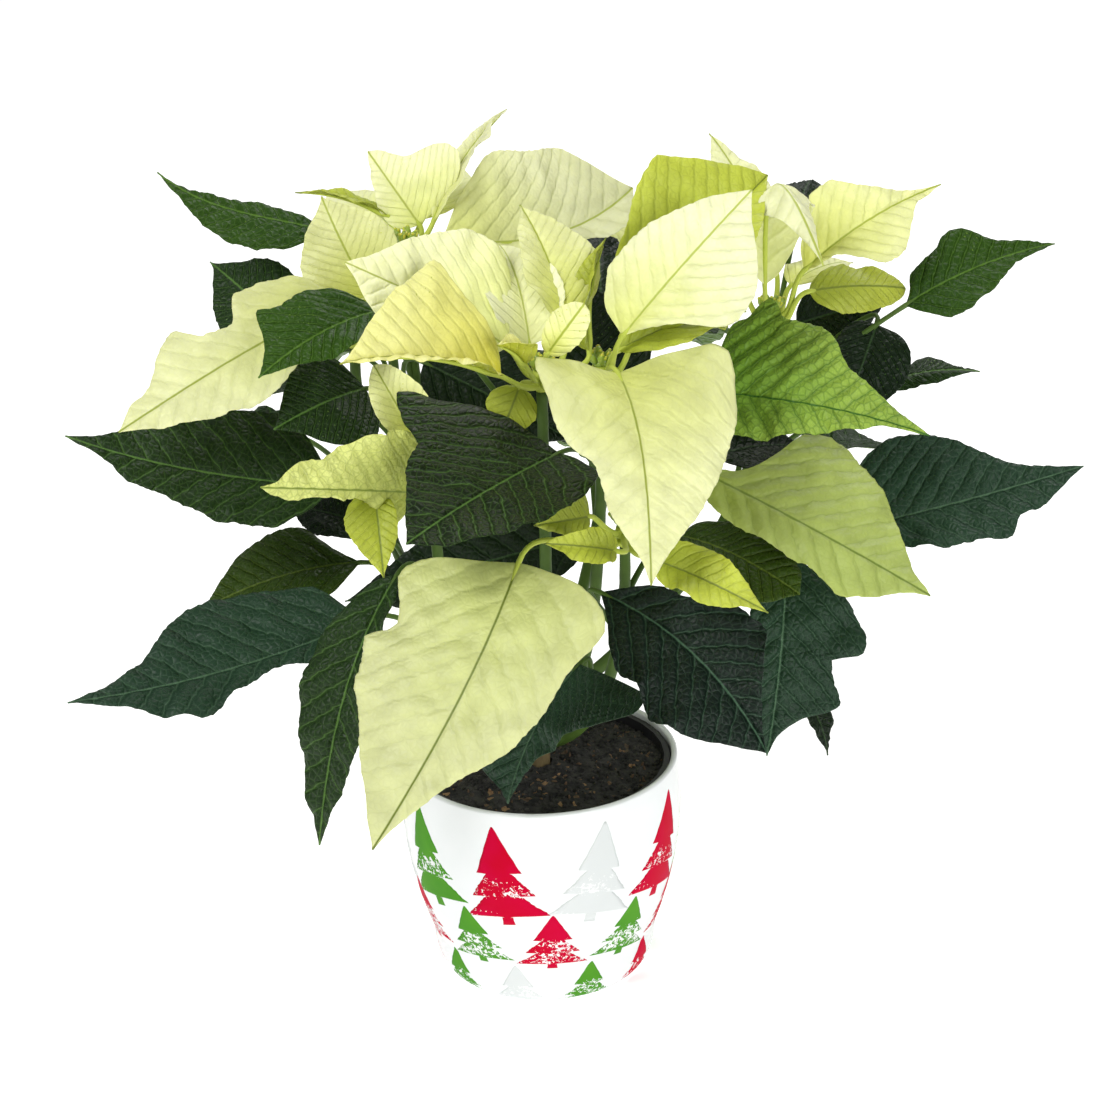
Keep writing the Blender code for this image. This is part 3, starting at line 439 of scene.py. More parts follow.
def soil_body(soil):
    """The whole plug of soil, with a loose surface and a hole for the stem."""
    outline = [(0, STEM_BOTTOM), (SOIL_HOLE, STEM_BOTTOM)]
    outline += [(r, SOIL_TOP) for r in np.linspace(SOIL_HOLE, SOIL_EDGE, SOIL_RINGS)]
    outline += [(SOIL_FOOT, SOIL_FLOOR), (0, SOIL_FLOOR)]
    verts, faces = turned(outline, SOIL_SIDES)
    for vert in verts:
        if vert[2] == SOIL_TOP:
            vert[2] = soil_height(vert[0], vert[1])
    return piece("peat_soil", verts, [face[::-1] for face in faces], soil, "soil", ["soil"], sharp=60)


def strew(name, over, bits, seed, material):
    """Loose bits strewn over the soil's surface, each a rough lump of its own size and turn."""
    density, size, stretch = bits
    tree = bpy.data.node_groups.new(name, "GeometryNodeTree")
    sockets = {"Geometry": "NodeSocketGeometry", "Bits per square metre": "NodeSocketFloat",
               "Seed": "NodeSocketInt", "Size": "NodeSocketFloat", "Stretch": "NodeSocketFloat"}
    for label, kind in sockets.items():
        tree.interface.new_socket(name=label, in_out="INPUT", socket_type=kind)
    tree.interface.new_socket(name="Geometry", in_out="OUTPUT", socket_type="NodeSocketGeometry")
    asked = node(tree, "NodeGroupInput").outputs
    way = node(tree, "GeometryNodeInputNormal")
    up = node(tree, "ShaderNodeSeparateXYZ", {0: way.outputs[0]})
    top = node(tree, "FunctionNodeCompare", {0: up.outputs["Z"], 1: 0.5}, operation="GREATER_THAN")
    points = node(tree, "GeometryNodeDistributePointsOnFaces",
                  {"Mesh": asked["Geometry"], "Selection": top.outputs[0],
                   "Density": asked["Bits per square metre"], "Seed": asked["Seed"]})
    lump = node(tree, "GeometryNodeMeshIcoSphere", {"Radius": asked["Size"], "Subdivisions": 2})
    knobs = node(tree, "ShaderNodeTexNoise", {"Scale": 900.0, "Detail": 1.0})
    centred = node(tree, "ShaderNodeVectorMath", {0: knobs.outputs["Color"], 1: (0.5, 0.5, 0.5)},
                   operation="SUBTRACT")
    push = node(tree, "ShaderNodeVectorMath", {0: centred.outputs[0], "Scale": asked["Size"]},
                operation="SCALE")
    rough = node(tree, "GeometryNodeSetPosition", {"Geometry": lump.outputs["Mesh"],
                                                   "Offset": push.outputs[0]})
    long_way = node(tree, "ShaderNodeCombineXYZ", {0: asked["Stretch"], 1: 1.0, 2: 1.0})
    drawn = node(tree, "GeometryNodeTransform", {"Geometry": rough.outputs[0],
                                                 "Scale": long_way.outputs[0]})
    turn = node(tree, "FunctionNodeRandomValue", {0: (0, 0, 0), 1: (math.tau,) * 3, "Seed": seed + 1},
                data_type="FLOAT_VECTOR")
    grow = node(tree, "FunctionNodeRandomValue", {2: BIT_SIZES[0], 3: BIT_SIZES[1],
                                                    "Seed": seed + 2})
    lying = node(tree, "GeometryNodeInstanceOnPoints",
                 {"Points": points.outputs["Points"], "Instance": drawn.outputs[0],
                  "Rotation": turn.outputs[0], "Scale": grow.outputs[1]})
    real = node(tree, "GeometryNodeRealizeInstances", {"Geometry": lying.outputs[0]})
    clad = node(tree, "GeometryNodeSetMaterial", {"Geometry": real.outputs[0], "Material": material})
    node(tree, "NodeGroupOutput", {"Geometry": clad.outputs[0]})

    holder = bpy.data.objects.new(name, over.data.copy())
    bpy.context.scene.collection.objects.link(holder)
    growth = holder.modifiers.new(name, "NODES")
    growth.node_group = tree
    values = {"Bits per square metre": float(density), "Seed": seed, "Size": size * MM, "Stretch": stretch}
    for item in tree.interface.items_tree:
        if item.in_out == "INPUT" and item.name in values:
            growth[item.identifier] = values[item.name]
    view = bpy.context.evaluated_depsgraph_get()
    mesh = bpy.data.meshes.new_from_object(holder.evaluated_get(view))
    holder.modifiers.remove(growth)
    holder.data = mesh
    holder.name = mesh.name = name
    settle(holder)


SOIL = potting_soil()
soil_top = soil_body(SOIL)
strew("soil_crumbs", soil_top, CRUMBS, 4, SOIL)
# Dry bark fibre is paler than the wet peat, and just as dull.
strew("bark_fibres", soil_top, FIBRES, 11, finish("dry_bark_fibre", "5E4B38", 0.9)[0])

# Blades
# A leaf or bract is a curved midrib, a width on each side of it, and a cross-section that
# folds at the midrib and cups towards the edges. The thin living sheet bulges between its
# lateral veins, which leave the midrib in turn on the two sides and sweep towards the tip.
BLADE_THICKNESS = 0.55
BLADE_NARROWEST = 0.3
ROW_SPACING = 1.4
COLUMN_SPACING = 2.2
EDGE_COLUMN = 0.975
EDGE_THINNING = 0.6
MIDRIB_HANDLES = (0.34, 0.68)
HEART_LENGTH = 0.3
ARC_STEPS = 8
PLAIN = dict(looks=(0, 0, 1), rise=(0.12, 0.10), sway=(0, 0), fold=(8, 8), cup=(0, 0), wave=0,
             heart=0, lobes=(), peak=0.38, full=0.6, taper=1.25, profile=())


def of_side(value, side):
    """A value that is given once, or once for each side of the midrib."""
    return value[side] if isinstance(value, tuple) else value


def smooth_through(places, widths, u):
    """Widths at u on a smooth curve through the given ones that doesn't swing past them."""
    places, widths = np.array(places, float), np.array(widths, float)
    gaps = np.diff(places)
    slopes = np.diff(widths) / gaps
    turns = np.concatenate([slopes[:1], np.zeros(len(slopes) - 1), slopes[-1:]])
    for k in range(1, len(slopes)):
        if slopes[k - 1] * slopes[k] > 0:
            turns[k] = 2 * slopes[k - 1] * slopes[k] / (slopes[k - 1] + slopes[k])
    k = np.clip(np.searchsorted(places, u, side="right") - 1, 0, len(gaps) - 1)
    t = (u - places[k]) / gaps[k]
    return ((1 + 2 * t) * (1 - t) ** 2 * widths[k] + t * (1 - t) ** 2 * gaps[k] * turns[k]
            + t ** 2 * (3 - 2 * t) * widths[k + 1] - t ** 2 * (1 - t) * gaps[k] * turns[k + 1])


def half_width(shape, side, u):
    """Distance from the midrib to the edge at the fractions u of the length."""
    if shape["profile"]:
        rows = [(0, 0, 0), *shape["profile"], (1, 0, 0)]
        width = smooth_through([row[0] for row in rows], [row[1 + side] for row in rows], u)
        return np.maximum(width, BLADE_NARROWEST)
    peak, full, taper, half = (of_side(shape[key], side) for key in ("peak", "full", "taper", "half"))
    rising = np.clip(u / peak, 0, 1)
    falling = np.clip((1 - u) / (1 - peak), 0, 1)
    swell = np.where(u < peak, (1 - (1 - rising) ** 2) ** full, np.sin(math.pi / 2 * falling) ** taper)
    for lobed_side, where, height, spread in shape["lobes"]:
        if lobed_side == side:
            swell = swell + height * np.exp(-np.abs((u - where) / spread) ** 1.5)
    return np.maximum(np.maximum(swell, 0) * half, BLADE_NARROWEST)


def unit(v):
    """A vector, or each row of vectors, at length one."""
    return v / np.linalg.norm(v, axis=-1, keepdims=True)


def midrib(shape, u):
    """Points, tangents, sideways and upward directions of the midrib at the fractions u."""
    base, tip = np.array(shape["base"], float), np.array(shape["tip"], float)
    chord = tip - base
    length = np.linalg.norm(chord)
    side = unit(np.cross(chord, np.array(shape["looks"], float)))
    up = unit(np.cross(side, chord))
    (near, far), (near_side, far_side) = shape["rise"], shape["sway"]
    p1 = base + chord * MIDRIB_HANDLES[0] + (up * near + side * near_side) * length
    p2 = base + chord * MIDRIB_HANDLES[1] + (up * far + side * far_side) * length
    w = u[:, None]
    points = (1 - w) ** 3 * base + 3 * (1 - w) ** 2 * w * p1 + 3 * (1 - w) * w ** 2 * p2 + w ** 3 * tip
    tangents = unit(3 * (1 - w) ** 2 * (p1 - base) + 6 * (1 - w) * w * (p2 - p1) + 3 * w ** 2 * (tip - p2))
    across = unit(np.cross(tangents, up))
    return points, tangents, across, np.cross(across, tangents)


def blade_grid(shape, u, v):
    """Middle surface of a blade as a grid of points, and the grid of its normals."""
    points, tangents, across, lift = midrib(shape, u)
    grid = np.repeat(points[:, None], len(v), axis=1)
    normals = np.zeros_like(grid)
    for column, reach in enumerate(v):
        for side, way in ((0, -1), (1, 1)):
            if reach * way < 0:
                continue
            width = half_width(shape, side, u)
            fold, cup = (math.radians(shape[key][side]) for key in ("fold", "cup"))
            steps = (np.arange(ARC_STEPS) + 0.5) / ARC_STEPS * abs(reach)
            out = np.cos(fold + cup * steps).mean() * reach * width
            height = np.sin(fold + cup * steps).mean() * abs(reach) * width
            ripple = np.sin(math.tau * (2 * u + 0.37 * side)) * np.sqrt(np.sin(math.pi * u))
            height += shape["wave"] * reach ** 2 * ripple
            set_back = np.sin(math.pi * np.clip(u / HEART_LENGTH, 0, 1))
            back = of_side(shape["heart"], side) * reach ** 2 * set_back
            slope = fold + cup * abs(reach)
            normals[:, column] += lift * math.cos(slope) - across * way * math.sin(slope)
            if reach != 0:
                grid[:, column] += across * out[:, None] + lift * height[:, None] - tangents * back[:, None]
    return grid, unit(normals)


def curve(p0, p1, p2, p3, steps):
    """Points along a cubic curve with two end points and two handles."""
    w = np.linspace(0, 1, steps + 1)[:, None]
    p0, p1, p2, p3 = (np.array(p, float) for p in (p0, p1, p2, p3))
    return (1 - w) ** 3 * p0 + 3 * (1 - w) ** 2 * w * p1 + 3 * (1 - w) * w ** 2 * p2 + w ** 3 * p3


# Flower heads and their blades
# Each shoot ends in a ring of coloured bracts, with green leaves on long stalks below them.
# A head is the point where its bracts meet, and the height of its stub on the woody stem.
HEADS = {
    "a": ((6, -40, 325), 142),
    "b": ((-58, 64, 352), 138),
    "c": ((33, -22, 320), 140),
    "d": ((116, 46, 320), 131),
    "e": ((-82, 22, 326), 129),
    "f": ((42, -60, 256), 115),
    "g": ((-44, -60, 274), 121),
    "h": ((45, 125, 318), 123),
    "i": ((-70, 135, 296), 117),
}
BRACTS = {head: [] for head in HEADS}
LEAVES = {head: [] for head in HEADS}


def bract(head, name, base, tip, half, **shape):
    """Adds one bract: where its blade starts and ends, and its widest half width on each side.

    A profile, where there is one, has rows of a place along it and the two half widths there.
    """
    BRACTS[head].append({**PLAIN, "name": name, "base": base, "tip": tip, "half": half, **shape})


def leaf(head, along, name, base, tip, half, **shape):
    """Adds one green leaf, with the fraction of the shoot at which its stalk starts."""
    LEAVES[head].append({**PLAIN, "name": name, "along": along, "base": base, "tip": tip,
                         "half": half, **shape})


FACING = (0, -1, 0.4)

bract("a", "back_left", (-9, -42, 337), (-79, -60, 385), (28, 47), fold=(-30, 45),
      rise=(0.04, 0.02),
      profile=((0.06, 8, 25), (0.12, 14, 38), (0.2, 20, 45), (0.3, 25, 47), (0.5, 28, 38), (0.7, 28, 24),
               (0.8, 23, 15), (0.9, 10, 7)))
bract("a", "front_left", (-12, -60, 330), (-80, -110, 356), (14, 33), fold=(10, 62),
      rise=(0.1, 0.08), lobes=[(1, 0.4, 0.35, 0.1), (1, 0.62, 0.12, 0.12)])
bract("a", "back", (1, -30, 333), (-12, 10, 368), (20, 20), fold=(25, 25), rise=(0.2, 0.25))
bract("a", "right", (18, -25, 343), (-2, 10, 387), (18, 22), fold=(20, 20))
bract("a", "sliver", (28, -25, 328), (37, -10, 377), (12, 12), fold=(40, 40), looks=(-1, -0.6, 0))
bract("a", "tongue", (9, -55, 338), (26, -60, 363), (9, 9), fold=(10, 10), taper=0.5, peak=0.6,
      looks=FACING)
bract("a", "curl", (-1, -60, 335), (-13, -70, 348), (11, 11), fold=(35, 35), cup=(20, 20))
bract("a", "low", (-4, -34, 315), (-14, -41, 292), (12, 12), looks=FACING)

bract("b", "left", (-51, 78, 357), (-75, 95, 389), (12, 36), fold=(10, 10), looks=FACING,
      profile=((0.06, 8, 15), (0.2, 12, 30), (0.4, 12, 36), (0.5, 10, 34), (0.6, 8, 28), (0.68, 7, 14),
               (0.8, 4, 9), (0.92, 2, 5)))
bract("b", "point", (-44, 75, 360), (-8, 120, 401), (6, 14), fold=(30, 35), taper=0.9)
bract("b", "right", (-40, 70, 352), (52, 90, 369), (44, 14), fold=(70, -50), rise=(-0.14, -0.2),
      profile=((0.06, 20, 5), (0.12, 30, 6), (0.2, 41, 7), (0.3, 44, 7), (0.5, 42, 7), (0.7, 40, 8),
               (0.8, 37, 13), (0.9, 26, 12)))
bract("b", "low_left", (-74, 40, 335), (-96, 60, 378), (24, 26), fold=(10, 10),
      looks=(-0.3, -1, 0.5))
bract("b", "spike", (-66, 78, 362), (-110, 80, 374), (5, 5), fold=(20, 20))
bract("b", "behind", (-50, 86, 357), (-30, 130, 368), (18, 18))
bract("b", "behind_left", (-64, 82, 354), (-98, 125, 358), (20, 20))

bract("c", "face", (43, -40, 340), (102, -30, 404), (25, 38), fold=(12, 12),
      looks=(-0.3, -1, 0.4), rise=(0.08, 0.05),
      profile=((0.06, 14, 3), (0.14, 20, 8), (0.25, 25, 17), (0.4, 25, 34), (0.5, 24, 38), (0.6, 21, 36),
               (0.7, 17, 30), (0.8, 13, 20), (0.9, 7, 8)))
bract("c", "behind", (51, -20, 336), (113, 30, 392), (45, 26), fold=(30, 20),
      looks=(-0.2, -1, 0.6),
      profile=((0.06, 17, 12), (0.2, 30, 23), (0.3, 34, 26), (0.5, 43, 24), (0.6, 45, 22), (0.7, 35, 18),
               (0.8, 24, 12), (0.9, 13, 6)))
bract("c", "cup", (41, -34, 331), (101, 0, 336), (14, 22), fold=(30, 30), looks=(0, -0.6, 1))
bract("c", "front", (40, -66, 332), (51, -150, 266), (51, 39), fold=(8, 26), cup=(-20, -30),
      rise=(0.18, 0.08), heart=26, sway=(-0.05, -0.03),
      profile=((0.06, 20, 14), (0.12, 44, 34), (0.2, 51, 39), (0.3, 46, 38), (0.4, 41, 33), (0.5, 36, 23),
               (0.6, 30, 20), (0.7, 23, 18), (0.8, 14, 11), (0.9, 6, 4)))

bract("d", "arch", (112, 35, 337), (135, -20, 364), (22, 22), fold=(-35, -35), rise=(0.95, 0.8))
bract("d", "right", (131, 40, 342), (197, 60, 376), (26, 25), fold=(45, -10),
      looks=(0, -0.5, 1),
      profile=((0.06, 8, 3), (0.2, 18, 5), (0.3, 26, 13), (0.4, 26, 23), (0.5, 19, 25), (0.6, 13, 20),
               (0.7, 7, 12), (0.8, 3, 4), (0.9, 1, 2)))
bract("d", "low_right", (133, 38, 332), (180, 50, 328), (13, 13), fold=(-10, -10), taper=0.5,
      looks=(0, -0.8, 0.8))
bract("d", "back", (119, 60, 336), (90, 110, 389), (20, 14), fold=(10, 10))
bract("d", "behind", (126, 56, 329), (158, 84, 330), (14, 14))
bract("d", "behind_left", (103, 52, 328), (78, 82, 340), (16, 16))

bract("e", "big", (-86, 5, 344), (-187, -40, 300), (28, 31), fold=(-5, 5), rise=(0.05, 0.03),
      looks=(-0.2, -0.6, 0.9),
      profile=((0.06, 7, 22), (0.12, 10, 27), (0.2, 15, 30), (0.32, 22, 31), (0.4, 27, 18), (0.5, 28, 19),
               (0.6, 24, 31), (0.7, 20, 23), (0.8, 14, 12), (0.9, 7, 8)))
bract("e", "behind", (-94, 30, 329), (-94, 80, 316), (14, 14))
bract("e", "inner", (-72, 26, 331), (-58, 50, 322), (12, 12))

bract("f", "big", (-6, -120, 265), (-72, -185, 160), (47, 52), fold=(4, 4), cup=(-12, -12),
      rise=(0.14, 0.1), sway=(-0.1, -0.07), looks=(0, -0.5, 1), heart=12,
      profile=((0.06, 20, 22), (0.12, 35, 42), (0.2, 47, 51), (0.3, 39, 43), (0.4, 37, 52), (0.5, 33, 50),
               (0.6, 25, 45), (0.7, 15, 36), (0.8, 9, 27), (0.9, 3, 14)))
bract("f", "up", (26, -72, 266), (1, -95, 272), (8, 17), looks=FACING, wave=2)
bract("f", "curl", (37, -105, 263), (6, -125, 276), (9, 9), fold=(25, 25), cup=(15, 15),
      taper=0.8, looks=(0, -1, 0.6))
bract("f", "curl_right", (54, -105, 258), (102, -140, 247), (14, 12), fold=(10, 20),
      looks=(0, -1, 0.8), wave=3)
bract("f", "right", (72, -60, 284), (177, -100, 235), (53, 23), fold=(-5, -5), rise=(0.03, 0.02),
      looks=(0, -0.5, 0.9),
      profile=((0.12, 8, 12), (0.2, 17, 16), (0.3, 49, 17), (0.4, 53, 17), (0.5, 49, 18), (0.6, 43, 19),
               (0.7, 35, 23), (0.8, 20, 17), (0.9, 8, 6)))

bract("g", "crinkle", (-50, -70, 279), (-117, -115, 302), (18, 29), fold=(-30, 25),
      rise=(0.06, 0.02), wave=3, looks=(-0.2, -1, 0.5),
      profile=((0.06, 14, 17), (0.12, 18, 27), (0.2, 15, 29), (0.3, 8, 28), (0.4, 4, 27), (0.5, 4, 22),
               (0.7, 5, 14), (0.8, 5, 11), (0.9, 4, 4)))
bract("g", "hang", (-70, -77, 283), (-66, -105, 253), (9, 15), looks=(0.1, -1, 0.4), fold=(10, 10))
bract("g", "back", (-52, -48, 298), (-70, -31, 326), (12, 16), looks=FACING, fold=(30, 30),
      full=0.4, taper=0.8)
bract("g", "inner", (-38, -46, 288), (-10, -48, 290), (14, 14))

bract("h", "right", (56, 130, 322), (110, 165, 330), (22, 22))
bract("h", "back_right", (50, 137, 322), (85, 205, 316), (24, 24))
bract("h", "back", (38, 138, 322), (25, 210, 308), (24, 24))
bract("h", "left", (33, 128, 322), (-18, 165, 320), (20, 20))
bract("h", "front", (55, 116, 320), (95, 95, 310), (15, 15))

bract("i", "left", (-81, 138, 299), (-125, 165, 299), (20, 20))
bract("i", "back_left", (-76, 146, 299), (-105, 210, 297), (24, 24))
bract("i", "back", (-66, 147, 299), (-55, 212, 294), (24, 24))
bract("i", "right", (-60, 140, 299), (-12, 175, 298), (20, 20))
bract("i", "front", (-62, 127, 298), (-25, 100, 290), (14, 14))

leaf("a", 0.85, "over", (-67, -20, 348), (-120, -60, 332), (18, 26), fold=(0, 10),
     lobes=[(1, 0.68, 0.45, 0.08)], looks=(-0.2, -0.5, 1))
leaf("b", 0.75, "top_left", (-98, 60, 362), (-174, 70, 389), (22, 8), fold=(-25, 30),
     rise=(-0.04, -0.14), taper=1.6, peak=0.35)
leaf("b", 0.7, "gap", (35, 60, 323), (36, 120, 336), (15, 15))
leaf("b", 0.6, "back_left", (-88, 105, 284), (-150, 150, 268), (24, 24))
leaf("b", 0.5, "inner", (-50, 34, 303), (20, 26, 264), (24, 24), looks=(0, -1, 0.5))
leaf("c", 0.8, "centre", (13, -62, 293), (-53, -152, 289), (36, 68), heart=12,
     rise=(0.03, 0.04), looks=(-0.1, -0.6, 1),
     profile=((0.06, 14, 18), (0.12, 22, 33), (0.2, 29, 47), (0.32, 34, 68), (0.4, 36, 58),
              (0.5, 34, 39), (0.6, 32, 35), (0.75, 25, 23), (0.9, 14, 9)))
leaf("c", 0.75, "under", (85, -30, 277), (129, 0, 267), (15, 18), looks=(0, -0.6, 1))
leaf("c", 0.35, "inner", (26, 14, 220), (-90, -16, 202), (22, 22), peak=0.45, looks=(0, -1, 0.5))
leaf("c", 0.7, "inner_high", (30, 18, 290), (30, 40, 338), (20, 28), looks=(0, -1, 0.5))
leaf("d", 0.8, "right_top", (179, 40, 323), (252, 60, 345), (24, 22), looks=(0, -0.6, 1),
     profile=((0.06, 5, 9), (0.12, 13, 15), (0.2, 15, 21), (0.3, 18, 22), (0.4, 23, 19), (0.47, 24, 16),
              (0.6, 14, 11), (0.7, 9, 6), (0.8, 6, 3), (0.9, 3, 2)))
leaf("d", 0.72, "bright", (80, -15, 303), (180, -60, 296), (48, 21), fold=(10, 0),
     looks=(0, -0.8, 0.8), rise=(0.08, 0.12),
     profile=((0.06, 33, 16), (0.12, 37, 20), (0.2, 48, 21), (0.3, 38, 21), (0.42, 38, 18),
              (0.5, 34, 15), (0.6, 21, 11), (0.7, 15, 8), (0.8, 9, 2), (0.9, 4, 1.5)))
leaf("d", 0.85, "dark_right", (166, 45, 312), (148, 20, 275), (22, 16), looks=(0, -1, 0.5),
     full=0.4, taper=0.7)
leaf("d", 0.65, "thin", (168, 60, 274), (218, 60, 281), (13, 8), fold=(0, -30),
     lobes=[(0, 0.5, 0.5, 0.12)])
leaf("d", 0.5, "big_right", (142, -20, 233), (255, -30, 267), (41, 28), looks=(0, -0.6, 0.9),
     rise=(-0.03, -0.03),
     profile=((0.1, 25, 10), (0.2, 37, 16), (0.3, 41, 19), (0.4, 39, 24), (0.5, 34, 25), (0.6, 24, 26),
              (0.66, 18, 28), (0.72, 13, 17), (0.8, 8, 15), (0.9, 4, 8)))
leaf("d", 0.35, "lobed_right", (117, -40, 234), (106, -72, 143), (39, 17), looks=(0.2, -1, 0.4),
     profile=((0.06, 8, 8), (0.2, 27, 15), (0.3, 34, 17), (0.4, 39, 17), (0.46, 38, 17), (0.5, 24, 16),
              (0.6, 26, 14), (0.7, 30, 11), (0.74, 26, 10), (0.8, 13, 8), (0.9, 3, 4)))
leaf("d", 0.25, "peek", (125, -30, 156), (137, -40, 126), (8, 8))
leaf("d", 0.9, "gap_right", (133, 100, 352), (141, 130, 358), (10, 10))
leaf("d", 0.88, "inner_right", (130, 74, 303), (176, 82, 312), (16, 16), looks=(0, -1, 0.5))
leaf("d", 0.6, "back_right", (120, 110, 262), (150, 185, 235), (26, 26))
leaf("d", 0.4, "back_low", (140, 85, 232), (200, 160, 190), (25, 25))
leaf("e", 0.85, "left", (-112, 50, 312), (-154, 90, 337), (22, 22), fold=(5, 10),
     looks=(-0.3, -0.8, 0.8), taper=1.6)
leaf("e", 0.75, "lobed", (-76, -5, 305), (-117, -34, 297), (28, 24), looks=(-0.2, -0.8, 0.6),
     lobes=[(0, 0.4, 0.3, 0.1)])
leaf("e", 0.55, "big_left", (-92, -20, 262), (-213, -30, 295), (28, 36), rise=(-0.07, -0.1),
     looks=(0, -0.6, 0.9),
     profile=((0.06, 12, 15), (0.12, 20, 26), (0.2, 28, 34), (0.3, 28, 36), (0.4, 28, 34), (0.5, 22, 29),
              (0.6, 18, 24), (0.7, 16, 19), (0.8, 9, 11), (0.9, 3, 5)))
leaf("e", 0.45, "dark_left", (-75, -10, 236), (-116, 20, 235), (16, 16), looks=(0, -0.6, 1))
leaf("e", 0.3, "olive", (-83, 0, 215), (-158, 0, 193), (24, 26), looks=(0, -0.5, 1),
     profile=((0.12, 14, 8), (0.2, 20, 15), (0.3, 23, 24), (0.4, 24, 26), (0.5, 23, 25), (0.6, 20, 22),
              (0.7, 16, 21), (0.8, 11, 14), (0.9, 5, 7)))
leaf("e", 0.6, "back_left", (-120, 70, 255), (-190, 130, 215), (26, 26))
leaf("e", 0.35, "back_low", (-95, 90, 218), (-140, 160, 185), (25, 25))
leaf("f", 0.7, "low_right", (30, -80, 232), (102, -130, 174), (31, 38), rise=(0.1, 0.1),
     sway=(-0.08, -0.07), looks=(0, -0.5, 1), fold=(20, 0), cup=(30, 0),
     profile=((0.1, 8, 12), (0.2, 15, 25), (0.3, 18, 31), (0.4, 24, 31), (0.5, 30, 35), (0.6, 31, 38),
              (0.7, 21, 33), (0.8, 11, 25), (0.9, 4, 14)))
leaf("f", 0.85, "mid_right", (66, -50, 246), (119, -95, 235), (17, 26), looks=(0, -0.5, 1),
     profile=((0.1, 10, 14), (0.3, 16, 24), (0.5, 17, 26), (0.7, 15, 24), (0.9, 10, 14)))
leaf("f", 0.25, "soil", (20, -52, 183), (-15, -75, 123), (62, 23), heart=(12, 0),
     profile=((0.06, 40, 16), (0.12, 60, 20), (0.2, 62, 20), (0.3, 39, 20), (0.4, 26, 19), (0.5, 21, 19),
              (0.6, 14, 20), (0.7, 9, 21), (0.8, 5, 23), (0.88, 3, 21), (0.94, 2, 7)))
leaf("g", 0.5, "low_left", (-79, -50, 208), (-210, -110, 198), (26, 38), rise=(-0.09, -0.07),
     looks=(0, -0.5, 1),
     profile=((0.1, 15, 27), (0.2, 13, 32), (0.3, 8, 36), (0.4, 11, 38), (0.5, 17, 37), (0.6, 26, 29),
              (0.7, 20, 17), (0.8, 12, 9), (0.9, 4, 4)))
leaf("g", 0.6, "long_hang", (-61, -75, 242), (-100, -122, 129), (17, 24), rise=(0.16, 0.1),
     profile=((0.06, 5, 9), (0.15, 8, 15), (0.35, 15, 23), (0.45, 17, 24), (0.55, 17, 22), (0.65, 15, 17),
              (0.75, 12, 13), (0.85, 7, 9), (0.93, 3, 4)))
leaf("h", 0.8, "back_right", (60, 150, 268), (95, 235, 232), (28, 28))
leaf("h", 0.7, "back", (20, 160, 255), (5, 245, 215), (29, 29))
leaf("h", 0.6, "right", (85, 130, 250), (160, 190, 222), (27, 27))
leaf("h", 0.45, "low", (30, 120, 222), (40, 200, 175), (25, 25))
leaf("i", 0.8, "back_left", (-80, 165, 262), (-110, 240, 225), (26, 26))
leaf("i", 0.7, "left", (-105, 140, 250), (-180, 180, 225), (27, 27))
leaf("i", 0.6, "back", (-60, 160, 232), (-60, 235, 180), (27, 27))
leaf("i", 0.4, "low", (-40, 130, 205), (-20, 200, 165), (24, 24))

# Tones of the blades
# Young bracts are lime and age to cream, and the leaves run from blue-green to olive. All of
# it is the same thin tissue, and only its colour, its veins and its bulges differ. Some tones
# are lighter or darker copies of another: painted light and shade for blades, by how the lamps
# reach them.

